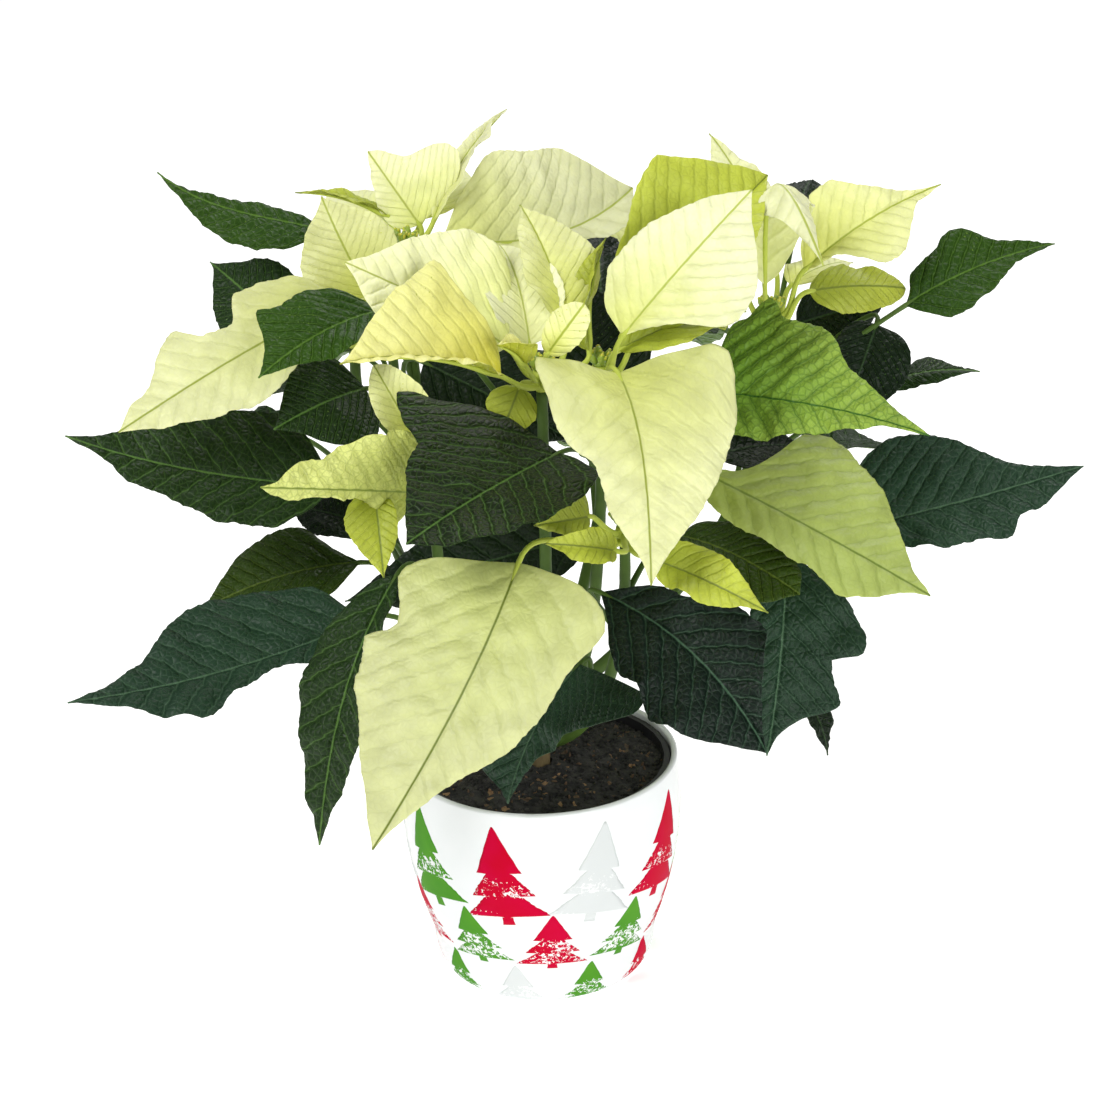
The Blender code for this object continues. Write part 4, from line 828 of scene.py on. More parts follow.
# A tone: the sheet at its tip, the sheet at its base, the veins, and the underside; how far
# the sheet bulges between its veins and how far its edge ruffles; and how strongly its
# lateral veins and its fine net show.
TONES = {
    "cream": (("E5E8B0", "D6DC74", "A4B03E", "D8DE88"), 0.6, 1.2, 0.16, 0.05),
    # The next two are the pale cream made lighter: painted light on bracts at the back that the lamps reach
    # less.
    "chalky_painted_light": (("F4F6C4", "EEF1AC", "B8C25C", "EAEDB0"), 0.6, 1.1, 0.1, 0.04),
    "milky_painted_light": (("EEF0B8", "E0E68C", "B0BA52", "E2E69C"), 0.6, 1.1, 0.12, 0.04),
    "pale": (("E2E4B6", "D8DD82", "AAB64C", "DEE2A0"), 0.7, 1.1, 0.14, 0.04),
    # The next two are the pale cream made darker: painted shade on the front bracts that the key lamp
    # lights most.
    "soft": (("DADDA4", "C6CC6C", "8E9A34", "CACF80"), 0.6, 1.1, 0.14, 0.05),
    "shaded": (("C4C890", "BCC474", "66741E", "BCC273"), 0.6, 1.1, 0.12, 0.05),
    "lemon": (("E3E6A2", "D2D85E", "A0AC38", "CFD56C"), 0.9, 1.3, 0.2, 0.06),
    "lime": (("E4E292", "CEC840", "989E26", "BCC23E"), 0.9, 1.3, 0.25, 0.08),
    "green_yellow": (("B4BE40", "9CA82E", "78852A", "A0AA38"), 0.9, 1.1, 0.3, 0.15),
    "crinkled": (("D4DA80", "A9B340", "77882A", "BAC458"), 2.0, 2.2, 0.4, 0.4),
    "pale_green": (("9AA857", "88973F", "667A28", "94A24C"), 1.1, 1.0, 0.3, 0.1),
    "dark": (("172B0F", "1B3212", "4F7032", "5F7A3C"), 1.0, 1.1, 0.6, 0.2),
    # The tone below is the dark leaf green made darker still: painted shade on the middle front leaf.
    "shady": (("0A1506", "0D1908", "4C6E2E", "46602C"), 0.5, 1.0, 0.7, 0.3),
    "blue_green": (("0A1610", "0D1A12", "3A5540", "46624A"), 0.9, 1.1, 0.6, 0.2),
    # The tone below is blue-green made lighter: partly a paler leaf, partly a painted sheen.
    "slate_painted_sheen": (("1C3323", "203A27", "48644A", "54704A"), 1.3, 1.1, 0.5, 0.25),
    # The tone below is darker than any leaf's own green: painted shade on the leaves in the plant's dark
    # middle.
    "deep": (("0D1C0C", "10210D", "2E4426", "3A5426"), 1.2, 1.0, 0.45, 0.2),
    "grassy": (("28460A", "22400E", "527428", "62802F"), 1.4, 1.0, 0.6, 0.25),
    "bright": (("90AC44", "6A962E", "3A6420", "7D9840"), 2.4, 1.4, 0.75, 0.4),
    "olive": (("2D420D", "283E10", "566826", "728638"), 1.2, 0.9, 0.55, 0.2),
}
TONE_OF = {
    "lime": "a.front_left a.curl d.behind_left",
    "lemon": "a.right a.tongue b.low_left g.back d.right",
    "green_yellow": "a.low a.sliver c.cup b.spike e.inner g.inner e.behind d.low_right c.behind f.up "
                    "f.curl f.curl_right g.hang",
    "chalky_painted_light": "a.back",
    "milky_painted_light": "a.back_left b.left",
    "pale": "c.face b.point b.right d.arch",
    "soft": "c.front e.big",
    "shaded": "f.big",
    "crinkled": "g.crinkle",
    "pale_green": "f.right",
    "grassy": "a.over d.right_top b.top_left",
    "bright": "d.bright",
    "olive": "f.mid_right e.olive",
    "shady": "c.centre",
    "blue_green": "f.low_right",
    "slate_painted_sheen": "d.big_right d.lobed_right g.low_left f.soil",
    "deep": "b.gap d.gap_right d.dark_right e.dark_left d.peek c.under b.inner c.inner "
            "c.inner_high d.inner_right",
}
TONE_FOR = {name: tone for tone, names in TONE_OF.items() for name in names.split()}
# The lateral veins: how many there are along a blade, the least gap between them, how they
# sweep towards the tip, and how far one wanders, as a share of the gap.
VEIN_COUNT = 11
VEIN_GAP = 4.5
VEIN_SWEEP = (0.8, 0.005)
VEIN_WANDER = 0.08
# Distances from the midrib at which the bulges and the slow swell reach their full height.
BULGE_START = 2.5
SWELL_START = 8
# The bulges fade over the outer fifth of the width and the first eighth of the length.
EDGE_FADE = 5
BASE_FADE = 8
SWELL = 1.7
SWELL_STRETCH = 4.5
ROLL_ALONG = (6.5, 15)
ROLL_ACROSS = (9, 7)
ROLL_SHARE = 0.5
RUFFLE_LENGTH = 24.0
RUFFLE_STEP = 2.1
EDGE_JAGS = 0.45
JAGS_FROM = 3
# How much lighter or darker one blade is than the next of its tone, and how its sheet turns
# from its base's colour to its tip's: along it, towards its edges, and how late.
BLADE_SHADE = 0.07
TINT_TURN = (1.5, 0.45, 0.05)


def wobble(distance, seed):
    """A smooth irregular wave about 6 mm long, between about -1 and 1."""
    turns = np.sin(np.array((1.0, 2.3, 3.7)) * (seed + 1) * 12.9) * 9
    return (np.sin(distance * 1.05 + turns[0]) + 0.7 * np.sin(distance * 1.9 + turns[1])
            + 0.5 * np.sin(distance * 0.43 + turns[2])) / 2


def ends_of(u):
    """One along most of a blade, falling to nothing at its base and its tip."""
    return np.sin(math.pi * np.clip(u, 0, 1))[:, None] ** 0.5


def columns_of(shape):
    """Places across the blade, from edge to edge, with one on the midrib and one near each edge."""
    count = max(4, round(max(shape["half"]) / COLUMN_SPACING))
    side = np.concatenate([np.linspace(0, 1, count + 1)[:-1], (EDGE_COLUMN, 1)])
    return np.concatenate([-side[:0:-1], side])


def blade_sheet(shape, seed, quilt, ruffle):
    """Fine grid of a blade with its bulges and ruffles, its normals, and its vein coordinates."""
    length = np.linalg.norm(np.array(shape["tip"], float) - np.array(shape["base"], float))
    u = np.linspace(0, 1, max(14, round(length / ROW_SPACING)))
    v = columns_of(shape)
    grid, normals = blade_grid(shape, u, v)
    middle = len(v) // 2
    steps = np.linalg.norm(np.diff(grid[:, middle], axis=0), axis=1)
    along = np.concatenate([[0], np.cumsum(steps)])[:, None]
    widths = np.stack([half_width(shape, side, u) for side in (0, 1)], 1)
    reach = np.abs(v)[None]
    across = np.where(v[None] < 0, widths[:, :1], widths[:, 1:]) * reach
    spacing = max(along[-1, 0] / VEIN_COUNT, VEIN_GAP)
    lean, bend = VEIN_SWEEP
    swept = (along - lean * across - bend * across ** 2) / spacing
    phases = [swept + side * 0.5 + wobble(along, seed) * VEIN_WANDER for side in (0, 1)]
    phase = np.where(v[None] < 0, phases[0], phases[1])
    ends = ends_of(u)
    rolling = (np.sin(along / ROLL_ALONG[0] + across / ROLL_ACROSS[0] + 2 * seed)
               * np.cos(across / ROLL_ACROSS[1] - along / ROLL_ALONG[1] + seed))
    slow = wobble(along / SWELL_STRETCH, seed + 11) * np.cos(across / ROLL_ACROSS[0] + seed)
    swell = SWELL * np.clip(across / SWELL_START, 0, 1) * ends * (slow + ROLL_SHARE * rolling)
    inside = np.clip(across / BULGE_START, 0, 1) * np.clip((1 - reach) * EDGE_FADE, 0, 1)
    inside = inside * np.clip(u * BASE_FADE, 0, 1)[:, None]
    bulge = quilt * inside * np.sin(math.pi * phase) ** 2
    wave = np.sin(math.tau * along / RUFFLE_LENGTH + seed + RUFFLE_STEP * (v[None] > 0))
    wave = wave + 0.6 * wobble(along / 2, seed + 3)
    grid = grid + normals * (bulge + swell + ruffle * reach ** 3 * ends * wave)[..., None]
    outward = grid - grid[:, middle:middle + 1]
    size = np.linalg.norm(outward, axis=-1, keepdims=True)
    outward = outward / np.maximum(size, 1e-6)
    jags = EDGE_JAGS * reach ** 8 * wobble(along * 1.1 + 5 * (v[None] > 0), seed + 7) * ends
    grid = grid + outward * (jags * (size[..., 0] > JAGS_FROM))[..., None]
    slopes = np.cross(np.gradient(grid, axis=0), np.gradient(grid, axis=1))
    fine = slopes * np.sign((slopes * normals).sum(-1, keepdims=True))
    normals = fine / np.maximum(np.linalg.norm(fine, axis=-1, keepdims=True), 1e-9)
    return grid, normals, along, across, phases, u, v


def blade_mesh(shape, tone, seed):
    """One blade as points, faces, and for each its colours, veins and places, upper face first."""
    colours, quilt, ruffle, lines, net = TONES[tone]
    grid, normals, along, across, phases, u, v = blade_sheet(shape, seed, quilt, ruffle)
    rows, columns = grid.shape[:2]
    size = rows * columns
    half = BLADE_THICKNESS / 2 * (1 - EDGE_THINNING * np.abs(v) ** 6)[None, :, None]
    verts = np.concatenate([(grid + normals * half).reshape(-1, 3), (grid - normals * half).reshape(-1, 3)])
    faces = sheet_faces(rows, columns)
    upward = np.cross(verts[faces[0][1]] - verts[faces[0][0]], verts[faces[0][3]] - verts[faces[0][0]])
    if np.dot(upward, normals[0, 0]) < 0:
        faces = faces[:, ::-1]

    tip, base, vein, under = (np.array(hex_colour(c)) for c in colours)
    shade = 1 + BLADE_SHADE * math.sin(seed * 7.3)
    length_share, edge_share, late = TINT_TURN
    mixed = np.clip(u[:, None] * length_share + edge_share * v[None] ** 2 - late, 0, 1)[..., None]
    sheet = (base * (1 - mixed) + tip * mixed) * (shade, shade, shade, 1)
    points = {
        "sheet": np.concatenate([sheet.reshape(-1, 4), np.tile(under, (size, 1))]),
        "veins": np.tile(vein, (2 * size, 1)),
        "face_up": np.repeat((1.0, 0.0), size),
        "vein_lines": np.full(2 * size, lines),
        "vein_net": np.full(2 * size, net),
    }

    def at_corners(values):
        """Values of the grid at each face's corners, the same on both faces of the sheet."""
        return np.tile(np.broadcast_to(values, (rows, columns)).reshape(-1), 2)[faces]

    left = (faces % size % columns).mean(axis=1) < (columns - 1) / 2
    phase = np.where(left[:, None], at_corners(phases[0]), at_corners(phases[1]))
    corners = {
        "vein": np.stack([phase, at_corners(v[None])], -1).reshape(-1, 2),
        "place": np.stack([at_corners(along), at_corners(across * np.sign(v)[None])], -1).reshape(-1, 2),
    }
    return verts, faces, points, corners


def blade_finish(name, roughness, through, gloss, bump_height):
    """Living leaf tissue: a waxy sheet, with midrib, lateral veins and a fine net in the vein tone.

    The midrib and the laterals are thin lines in soft valleys. The net is drawn at three and at
    one millimetre, as coarse as it needs to be to show.
    """
    sheet, tree, shader = finish(name, "808040", roughness, specular_ior_level=gloss,
                                 subsurface_weight=through, subsurface_scale=0.0015,
                                 subsurface_radius=(1.0, 1.0, 0.4))
    own = {key: node(tree, "ShaderNodeAttribute", attribute_name=key)
           for key in ("sheet", "veins", "face_up", "vein_lines", "vein_net")}
    vein = node(tree, "ShaderNodeUVMap", uv_map="vein")
    place = node(tree, "ShaderNodeUVMap", uv_map="place")
    turn = node(tree, "ShaderNodeSeparateXYZ", {0: vein.outputs[0]})
    spot = node(tree, "ShaderNodeSeparateXYZ", {0: place.outputs[0]})
    # The lateral veins lie where the vein coordinate is a whole number, shaken a little.
    shake = node(tree, "ShaderNodeTexNoise", {"Vector": place.outputs[0], "Scale": 0.05, "Detail": 1.0},
                 noise_dimensions="2D")
    shift = node(tree, "ShaderNodeMath", {0: shake.outputs["Fac"], 1: 0.12, 2: turn.outputs["X"]},
                 operation="MULTIPLY_ADD")
    beside = node(tree, "ShaderNodeMath", {0: shift.outputs[0], 1: 0.5}, operation="PINGPONG")
    lateral = node(tree, "ShaderNodeMapRange", {"Value": beside.outputs[0], "From Min": 0.012,
                                                "From Max": 0.05, "To Max": 0.0,
                                                "To Min": own["vein_lines"].outputs["Fac"]})
    valley = node(tree, "ShaderNodeMapRange", {"Value": beside.outputs[0], "From Max": 0.2,
                                               "To Min": 1.0, "To Max": 0.0},
                  interpolation_type="SMOOTHSTEP")
    # The midrib is a line about a millimetre wide, in a soft valley four times as wide.
    off_middle = node(tree, "ShaderNodeMath", {0: spot.outputs["Y"]}, operation="ABSOLUTE")
    rib = node(tree, "ShaderNodeMapRange", {"Value": off_middle.outputs[0], "From Min": 0.3,
                                            "From Max": 0.8, "To Min": 1.0, "To Max": 0.0})
    ridge = node(tree, "ShaderNodeMapRange", {"Value": off_middle.outputs[0], "From Max": 2.2,
                                              "To Min": 1.0, "To Max": 0.0},
                 interpolation_type="SMOOTHSTEP")
    # The net: cells three millimetres wide, with finer and fainter ones between.
    cells = node(tree, "ShaderNodeTexVoronoi", {"Vector": place.outputs[0], "Scale": 0.33},
                 feature="DISTANCE_TO_EDGE", voronoi_dimensions="2D")
    mesh = node(tree, "ShaderNodeMapRange", {"Value": cells.outputs["Distance"], "From Min": 0.02,
                                             "From Max": 0.14, "To Max": 0.0,
                                             "To Min": own["vein_net"].outputs["Fac"]})
    small = node(tree, "ShaderNodeTexVoronoi", {"Vector": place.outputs[0], "Scale": 1.1},
                 feature="DISTANCE_TO_EDGE", voronoi_dimensions="2D")
    half_net = node(tree, "ShaderNodeMath", {0: own["vein_net"].outputs["Fac"], 1: 0.4},
                    operation="MULTIPLY")
    fine = node(tree, "ShaderNodeMapRange", {"Value": small.outputs["Distance"], "From Min": 0.02,
                                             "From Max": 0.2, "To Max": 0.0,
                                             "To Min": half_net.outputs[0]})
    # The tint: the sheet's own colour, a little patchy, with every vein over it, and along each valley a
    # soft band of the vein colour, partly the greener tissue by the veins and partly painted shade.
    lines = node(tree, "ShaderNodeMath", {0: lateral.outputs[0], 1: rib.outputs[0]}, operation="MAXIMUM")
    nets = node(tree, "ShaderNodeMath", {0: mesh.outputs[0], 1: fine.outputs[0]}, operation="MAXIMUM")
    drawn = node(tree, "ShaderNodeMath", {0: lines.outputs[0], 1: nets.outputs[0]}, operation="MAXIMUM")
    # Painted shade: the valleys beside the laterals are tinted towards the vein colour, so the ribs show
    # even under flat light.
    glow = node(tree, "ShaderNodeMath", {0: valley.outputs[0], 1: own["vein_lines"].outputs["Fac"]},
                operation="MULTIPLY")
    valley_painted_shade = node(tree, "ShaderNodeMath", {0: glow.outputs[0], 1: 0.4}, operation="MULTIPLY")
    strength = node(tree, "ShaderNodeMath", {0: drawn.outputs[0], 1: valley_painted_shade.outputs[0]},
                    operation="MAXIMUM")
    mottle = node(tree, "ShaderNodeTexNoise", {"Vector": place.outputs[0], "Scale": 0.09, "Detail": 3.0},
                  noise_dimensions="2D")
    patchy = node(tree, "ShaderNodeMapRange", {"Value": mottle.outputs["Fac"], "From Min": 0.3,
                                               "From Max": 0.7, "To Min": 0.93, "To Max": 1.06})
    lit = node(tree, "ShaderNodeVectorMath", {0: own["sheet"].outputs["Color"], "Scale": patchy.outputs[0]},
               operation="SCALE")
    tint = node(tree, "ShaderNodeMix", {0: strength.outputs[0], 6: lit.outputs[0],
                                        7: own["veins"].outputs["Color"]}, data_type="RGBA")
    # The relief: veins are sunk in the upper face and stand out of the lower one.
    way = node(tree, "ShaderNodeMapRange", {"Value": own["face_up"].outputs["Fac"], "To Min": 1.0,
                                            "To Max": -1.0})
    folded = node(tree, "ShaderNodeMath", {0: valley.outputs[0], 1: ridge.outputs[0]}, operation="MAXIMUM")
    sunk = node(tree, "ShaderNodeMath", {0: mesh.outputs[0], 1: 0.4, 2: folded.outputs[0]},
                operation="MULTIPLY_ADD")
    puffed = node(tree, "ShaderNodeMath", {0: cells.outputs["Distance"], 1: -0.8, 2: sunk.outputs[0]},
                  operation="MULTIPLY_ADD")
    relief = node(tree, "ShaderNodeMath", {0: puffed.outputs[0], 1: way.outputs[0]}, operation="MULTIPLY")
    bump = node(tree, "ShaderNodeBump", {"Strength": 0.8, "Distance": bump_height,
                                         "Height": relief.outputs[0]})
    rough = node(tree, "ShaderNodeMapRange", {"Value": mottle.outputs["Fac"], "To Min": roughness - 0.06,
                                              "To Max": roughness + 0.08})
    tree.links.new(tint.outputs[2], shader.inputs["Base Color"])
    tree.links.new(rough.outputs[0], shader.inputs["Roughness"])
    tree.links.new(bump.outputs["Normal"], shader.inputs["Normal"])
    return sheet


def blade_piece(name, blades, material, slot):
    """Joins fine blades into one piece, with their colours and vein coordinates as attributes."""
    verts, faces, points, corners = [], [], {}, {}
    for own_verts, own_faces, own_points, own_corners in blades:
        faces.append(own_faces + sum(len(v) for v in verts))
        verts.append(own_verts)
        for store, own in ((points, own_points), (corners, own_corners)):
            for key, values in own.items():
                store.setdefault(key, []).append(values)
    made = piece(name, np.concatenate(verts), np.concatenate(faces), material, slot)
    for key, values in points.items():
        tinted = key in ("sheet", "veins")
        field = made.data.attributes.new(key, "FLOAT_COLOR" if tinted else "FLOAT", "POINT")
        field.data.foreach_set("color" if tinted else "value", np.concatenate(values).ravel())
    for key, values in corners.items():
        layer = made.data.uv_layers.new(name=key)
        layer.data.foreach_set("uv", np.concatenate(values).ravel())
    return made


# A leaf is firm and waxy, with a low sheen over deep relief. A bract is thin and soft, so some
# light goes into it and its veins hardly stand out.
LEAF = blade_finish("waxy_leaf", roughness=0.4, through=0.0, gloss=0.17, bump_height=0.0009)
BRACT = blade_finish("soft_bract", roughness=0.48, through=0.2, gloss=0.4, bump_height=0.0004)
seed = 0
for head in HEADS:
    for kind, shapes, usual, material in (("leaf", LEAVES[head], "dark", LEAF),
                                          ("bract", BRACTS[head], "cream", BRACT)):
        blades = []
        for shape in shapes:
            seed += 1
            tone = TONE_FOR.get("%s.%s" % (head, shape["name"]), usual)
            blades.append(blade_mesh(shape, tone, seed))
        blade_piece("%s_blades_%s" % (kind, head), blades, material, kind)

# Woody stem
# The old stem was cut once and healed over. It is brown and corky, with a stub for each
# of the nine green shoots that grew out below the cut.
STEM_TOP = 152.0
STEM_EDGE = 2.0
STEM_RADII = (5.4, 4.4, 3.6)
STEM_RINGS = 60
STEM_SIDES = 32
STUB_RADIUS = 3.1
STUB_REACH = 15.0
STUB_RISE = 0.6
STUB_RINGS = 14
# How far the bark's lumps stand out on the stem and on a stub, and their turns to a millimetre.
STEM_BARK = 0.5
STUB_BARK = 0.35
BARK_TURNS = 0.35
SHOOT_SIDES = 20
GAP = 0.3


def stub(head):
    """Root, end and direction of the stub that a shoot grows from."""
    (x, y, _), height = HEADS[head]
    out = np.array((x, y, 0)) / math.hypot(x, y)
    root = np.array((0, 0, height), float)
    direction = unit(out + np.array((0, 0, STUB_RISE)))
    return root, root + direction * STUB_REACH, direction


def tube(path, radii, sides, rough=0.0):
    """Points and faces of a closed round tube along a path, with a rough bark if asked."""
    path = np.array(path, float)
    tangents = unit(np.gradient(path, axis=0))
    start = np.array((0, 0, 1.0)) if abs(tangents[0][2]) < 0.8 else np.array((1.0, 0, 0))
    across = unit(np.cross(tangents[0], start))
    verts = []
    for point, tangent, radius in zip(path, tangents, radii):
        across = unit(across - tangent * np.dot(across, tangent))
        other = np.cross(tangent, across)
        for k in range(sides):
            angle = math.tau * k / sides
            spot = point + radius * (across * math.cos(angle) + other * math.sin(angle))
            lump = rough * noise.noise(Vector(spot) * BARK_TURNS) if rough else 0
            verts.append(spot + (spot - point) / radius * lump)
    return np.array(verts + [path[0], path[-1]]), ring_faces(len(path), sides)


def joined(solids):
    """One list of points and one of faces, from several closed shapes."""
    verts, faces = [], []
    for own_verts, own_faces in solids:
        start = sum(len(v) for v in verts)
        faces += [tuple(int(k) + start for k in face) for face in own_faces]
        verts.append(own_verts)
    return np.concatenate(verts), faces


def corky_bark():
    """Grey-brown young bark with fine cracks along the stem."""
    bark, tree, shader = finish("corky_bark", "6B5A3C", 0.85)
    place = node(tree, "ShaderNodeTexCoord")
    stretched = node(tree, "ShaderNodeMapping", {"Vector": place.outputs["Object"],
                                                 "Scale": (1.0, 1.0, 0.25)})
    cracks = node(tree, "ShaderNodeTexNoise", {"Vector": stretched.outputs[0], "Scale": 420.0,
                                               "Detail": 5.0})
    tint = node(tree, "ShaderNodeMix", {0: cracks.outputs["Fac"], 6: hex_colour("3F3424"),
                                        7: hex_colour("8C7A50")}, data_type="RGBA")
    bump = node(tree, "ShaderNodeBump", {"Strength": 0.7, "Distance": 0.0006,
                                         "Height": cracks.outputs["Fac"]})
    tree.links.new(tint.outputs[2], shader.inputs["Base Color"])
    tree.links.new(bump.outputs["Normal"], shader.inputs["Normal"])
    return bark


heights = np.linspace(STEM_BOTTOM, STEM_TOP, STEM_RINGS)
radii = np.interp(heights, (STEM_BOTTOM, STEM_TOP - STEM_EDGE, STEM_TOP), STEM_RADII)
woody = [tube([(0, 0, z) for z in heights], radii, STEM_SIDES, STEM_BARK)]
shares = np.linspace(0, 1, STUB_RINGS)[:, None]
for head in HEADS:
    root, end, _ = stub(head)
    thick = np.full(STUB_RINGS, STUB_RADIUS)
    woody.append(tube(root + (end - root) * shares, thick, SHOOT_SIDES, STUB_BARK))
piece("woody_stem", *joined(woody), corky_bark(), "stem_wood", ["main_stem"], sharp=60)

# Green shoots and stalks
# Soft green stems with a slight ridge below each stalk. Every stalk runs on under its
# blade as the midrib, and thins towards the tip.
SHOOT_RADIUS = (3.3, 2.5)
SHOOT_RIDGES = 0.25
# How far a shoot runs on along its stub, at most, as shares of its length and of its reach,
# and how far below its neck it starts to straighten.
SHOOT_LEAN = (0.38, 0.6)
SHOOT_RISE = 0.4
SHOOT_STEPS = 40
STALK_STEPS = 100
STALK_SIDES = 12
NECK = 10.0
# The neck under the bracts: how far down it, as a share of its length, and its radius there.
NECK_OUTLINE = ((1, 2.7), (0.8, 3.4), (0.6, 4.2), (0.4, 4.4), (0.2, 4.3), (0.05, 4.0), (0, 3.2))
STALK_RADIUS = (1.6, 1.15)
STALK_DEPTHS = (0.35, 0.72)
STALK_INSET = 2.2
STALK_SLOPE = 0.1
STALK_BOW = 0.35
STALK_LIFT = 0.5
STALK_RINGS = 14
# The midrib under a blade: where it ends, how it thins, and how soon it has sunk below the sheet.
MIDRIB_END = 0.92
MIDRIB_TIP = 0.12
MIDRIB_TAPER = 0.8
MIDRIB_SINK = 12
MIDRIB_RINGS = 30


def shoot_path(head, steps):
    """The curve from the stub's end up to the neck under the bracts."""
    crown = np.array(HEADS[head][0], float)
    _, start, direction = stub(head)
    start = start + direction * GAP
    end = crown - (0, 0, NECK + GAP)
    last_bend = end - (0, 0, SHOOT_RADIUS[1])
    length = np.linalg.norm(end - start)
    lean = min(SHOOT_LEAN[0] * length, SHOOT_LEAN[1] * math.hypot(crown[0], crown[1]))
    bend = curve(start + direction * SHOOT_RADIUS[0], start + direction * lean,
                 last_bend - np.array((0, 0, SHOOT_RISE)) * length, last_bend, steps)
    return np.vstack([start, bend, end])


def stalk(shape, start, outward):
    """A round stalk from its start to the blade, which goes on under the blade as its midrib."""
    u = np.linspace(0, MIDRIB_END, MIDRIB_RINGS)
    points, tangents, _, lift = midrib(shape, u)
    length = np.linalg.norm(points[0] - start)
    free = curve(start, start + unit(outward) * length * STALK_BOW,
                 points[0] - tangents[0] * length * STALK_BOW, points[0], STALK_RINGS)[:-1]
    radii = np.concatenate([np.linspace(*STALK_RADIUS, len(free)),
                            STALK_RADIUS[1] * (1 - u) ** MIDRIB_TAPER + MIDRIB_TIP])
    under = points - lift * (radii[len(free):, None] * np.clip(u * MIDRIB_SINK, 0, 1)[:, None])
    return tube(np.vstack([free, under]), radii, STALK_SIDES)


def soft_tissue(name, low, high, roughness, scale, detail, **sockets):
    """Fresh stem or flower tissue, mottled a little between two tones."""
    tissue, tree, shader = finish(name, high, roughness, **sockets)
    place = node(tree, "ShaderNodeTexCoord")
    mottle = node(tree, "ShaderNodeTexNoise", {"Vector": place.outputs["Object"], "Scale": scale,
                                               "Detail": detail})
    tint = node(tree, "ShaderNodeMix", {0: mottle.outputs["Fac"], 6: hex_colour(low),
                                        7: hex_colour(high)}, data_type="RGBA")
    tree.links.new(tint.outputs[2], shader.inputs["Base Color"])
    return tissue


# Soft stems are nearly matt; their green is partly their own and partly darkened as painted shade of the
# plant's dark middle. A bract's stalk is as lime as a young bract.
SHOOT_GREEN_WITH_PAINTED_SHADE = soft_tissue("green_shoot", "2F4518", "587330", 0.5, 90.0, 3.0, specular_ior_level=0.2)
BRACT_STALK = soft_tissue("lime_bract_stalk", "A9B944", "C8D25E", 0.5, 90.0, 3.0, specular_ior_level=0.2)
for head in HEADS:
    path = shoot_path(head, SHOOT_STEPS)
    stems = [tube(path, np.linspace(*SHOOT_RADIUS, len(path)), SHOOT_SIDES, SHOOT_RIDGES)]
    fine = shoot_path(head, STALK_STEPS)
    for shape in LEAVES[head]:
        start = fine[round(shape["along"] * STALK_STEPS)]
        outward = unit(np.array(shape["base"], float) - start) + (0, 0, STALK_LIFT)
        stems.append(stalk(shape, start, outward))
    piece("green_stems_" + head, *joined(stems), SHOOT_GREEN_WITH_PAINTED_SHADE, "leaf", ["shoot_" + head])

    crown = np.array(HEADS[head][0], float)
    necks = [tube([crown - (0, 0, NECK * down) for down, _ in NECK_OUTLINE],
                  [radius for _, radius in NECK_OUTLINE], SHOOT_SIDES)]
    reach = [(np.array(shape["base"], float) - crown) * (1, 1, STALK_SLOPE) for shape in BRACTS[head]]
    turn = sorted(range(len(reach)), key=lambda k: math.atan2(reach[k][1], reach[k][0]))
    for place_in_turn, k in enumerate(turn):
        start = crown - (0, 0, NECK * STALK_DEPTHS[place_in_turn % 2]) + unit(reach[k]) * STALK_INSET
        necks.append(stalk(BRACTS[head][k], start, reach[k]))
    piece("bract_stalks_" + head, *joined(necks), BRACT_STALK, "bract", ["bracts_" + head])

# Flower buds
# The true flowers are small green cups in a tight cluster, each with a fringed yellow
# mouth and one or two fleshy yellow glands on its side.
BUDS = 7
BUD_SIDES = 16
BUD_LENGTH = 6.4
# Along a bud, as shares of its length, and its radius there.
BUD_OUTLINE = ((0.0, 0.9), (0.15, 1.25), (0.4, 1.95), (0.62, 2.05), (0.8, 1.7), (0.92, 1.25), (1.0, 1.0))
BUD_SIZES = (0.82, 1.0, 0.9)
BUD_LEAN = 0.6
BUD_RING = 2.9
BUD_FOOT = 1.0
BUD_TURN = 0.37
# The cushion they stand on: heights and radii.
CUSHION = ((0, 3.6), (1.2, 3.4), (2.4, 2.4))
MOUTH_PLACE = 0.99
MOUTH_SIDES = 12
# The mouth: how far out of the bud, and its radius there, down to the hole in its middle.
MOUTH_OUTLINE = ((0, 0.85), (0.5, 0.95))
MOUTH_HOLE = (0.9, 0.4)
GLAND_PLACE = 0.8
GLAND_OFFSET = 1.6
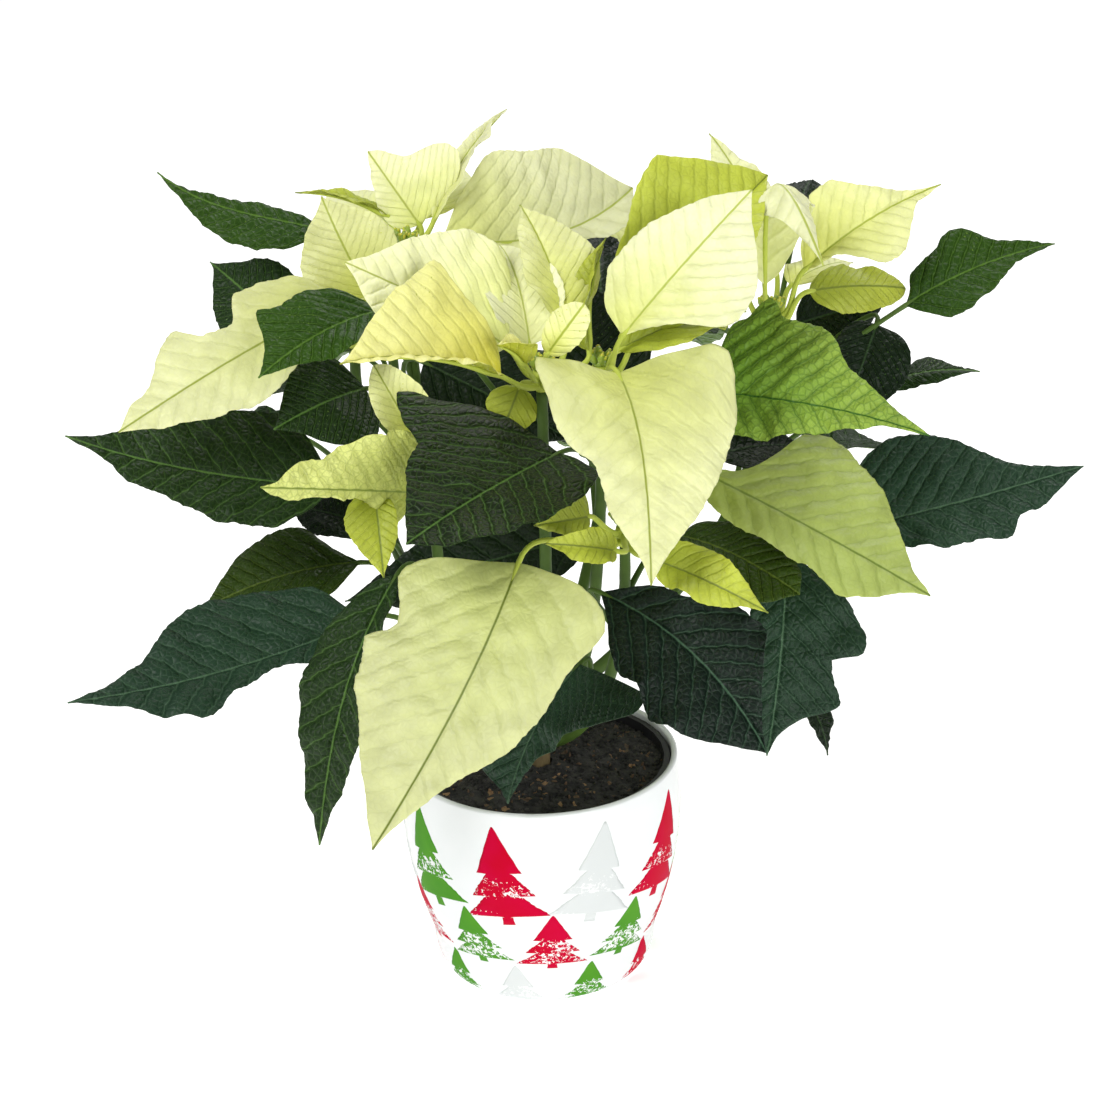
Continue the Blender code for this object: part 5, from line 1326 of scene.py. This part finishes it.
# Along a gland and its radius there, in millimetres.
GLAND_OUTLINE = ((-0.5, 0.69), (0, 1.15), (0.45, 1.035), (0.6, 0.46))
BUD_FLESH = dict(subsurface_weight=0.2, subsurface_scale=0.001)

# Both are fleshy and let some light in; the gland has a wetter gloss than the cup.
GREEN_CUP = soft_tissue("green_flower_cup", "7F9A30", "A9BD4C", 0.4, 500.0, 2.0, coat_weight=0.1,
                        **BUD_FLESH)
YELLOW_LIP = soft_tissue("yellow_gland", "B9BE30", "D6D44A", 0.4, 500.0, 2.0, coat_weight=0.3,
                         **BUD_FLESH)
for head in HEADS:
    foot = np.array(HEADS[head][0], float) + (0, 0, GAP)
    cups = [tube([foot + (0, 0, rise) for rise, _ in CUSHION], [radius for _, radius in CUSHION],
                 SHOOT_SIDES)]
    lips = []
    for k in range(BUDS):
        angle = math.tau * (k + ord(head) * BUD_TURN) / (BUDS - 1)
        out = np.zeros(3) if k == BUDS - 1 else np.array((math.cos(angle), math.sin(angle), 0))
        direction = unit(out * BUD_LEAN + (0, 0, 1))
        start = foot + (0, 0, BUD_FOOT) + out * BUD_RING
        size = BUD_SIZES[k % len(BUD_SIZES)]
        length = direction * BUD_LENGTH * size
        cups.append(tube([start + length * share for share, _ in BUD_OUTLINE],
                         [radius * size for _, radius in BUD_OUTLINE], BUD_SIDES))
        mouth = start + length * MOUTH_PLACE
        lips.append(tube([mouth + direction * rise for rise, _ in (*MOUTH_OUTLINE, MOUTH_HOLE)],
                         [radius * size for _, radius in MOUTH_OUTLINE] + [MOUTH_HOLE[1]], MOUTH_SIDES))
        beside = unit(np.cross(direction, (0.3, 1, 0.2))) * (1 if k % 2 else -1)
        gland = start + length * GLAND_PLACE + beside * GLAND_OFFSET * size
        lips.append(tube([gland + beside * place for place, _ in GLAND_OUTLINE],
                         [radius for _, radius in GLAND_OUTLINE], MOUTH_SIDES))
    piece("flower_cups_" + head, *joined(cups), GREEN_CUP, "bud", ["cyathia_" + head])
    piece("flower_glands_" + head, *joined(lips), YELLOW_LIP, "bud")
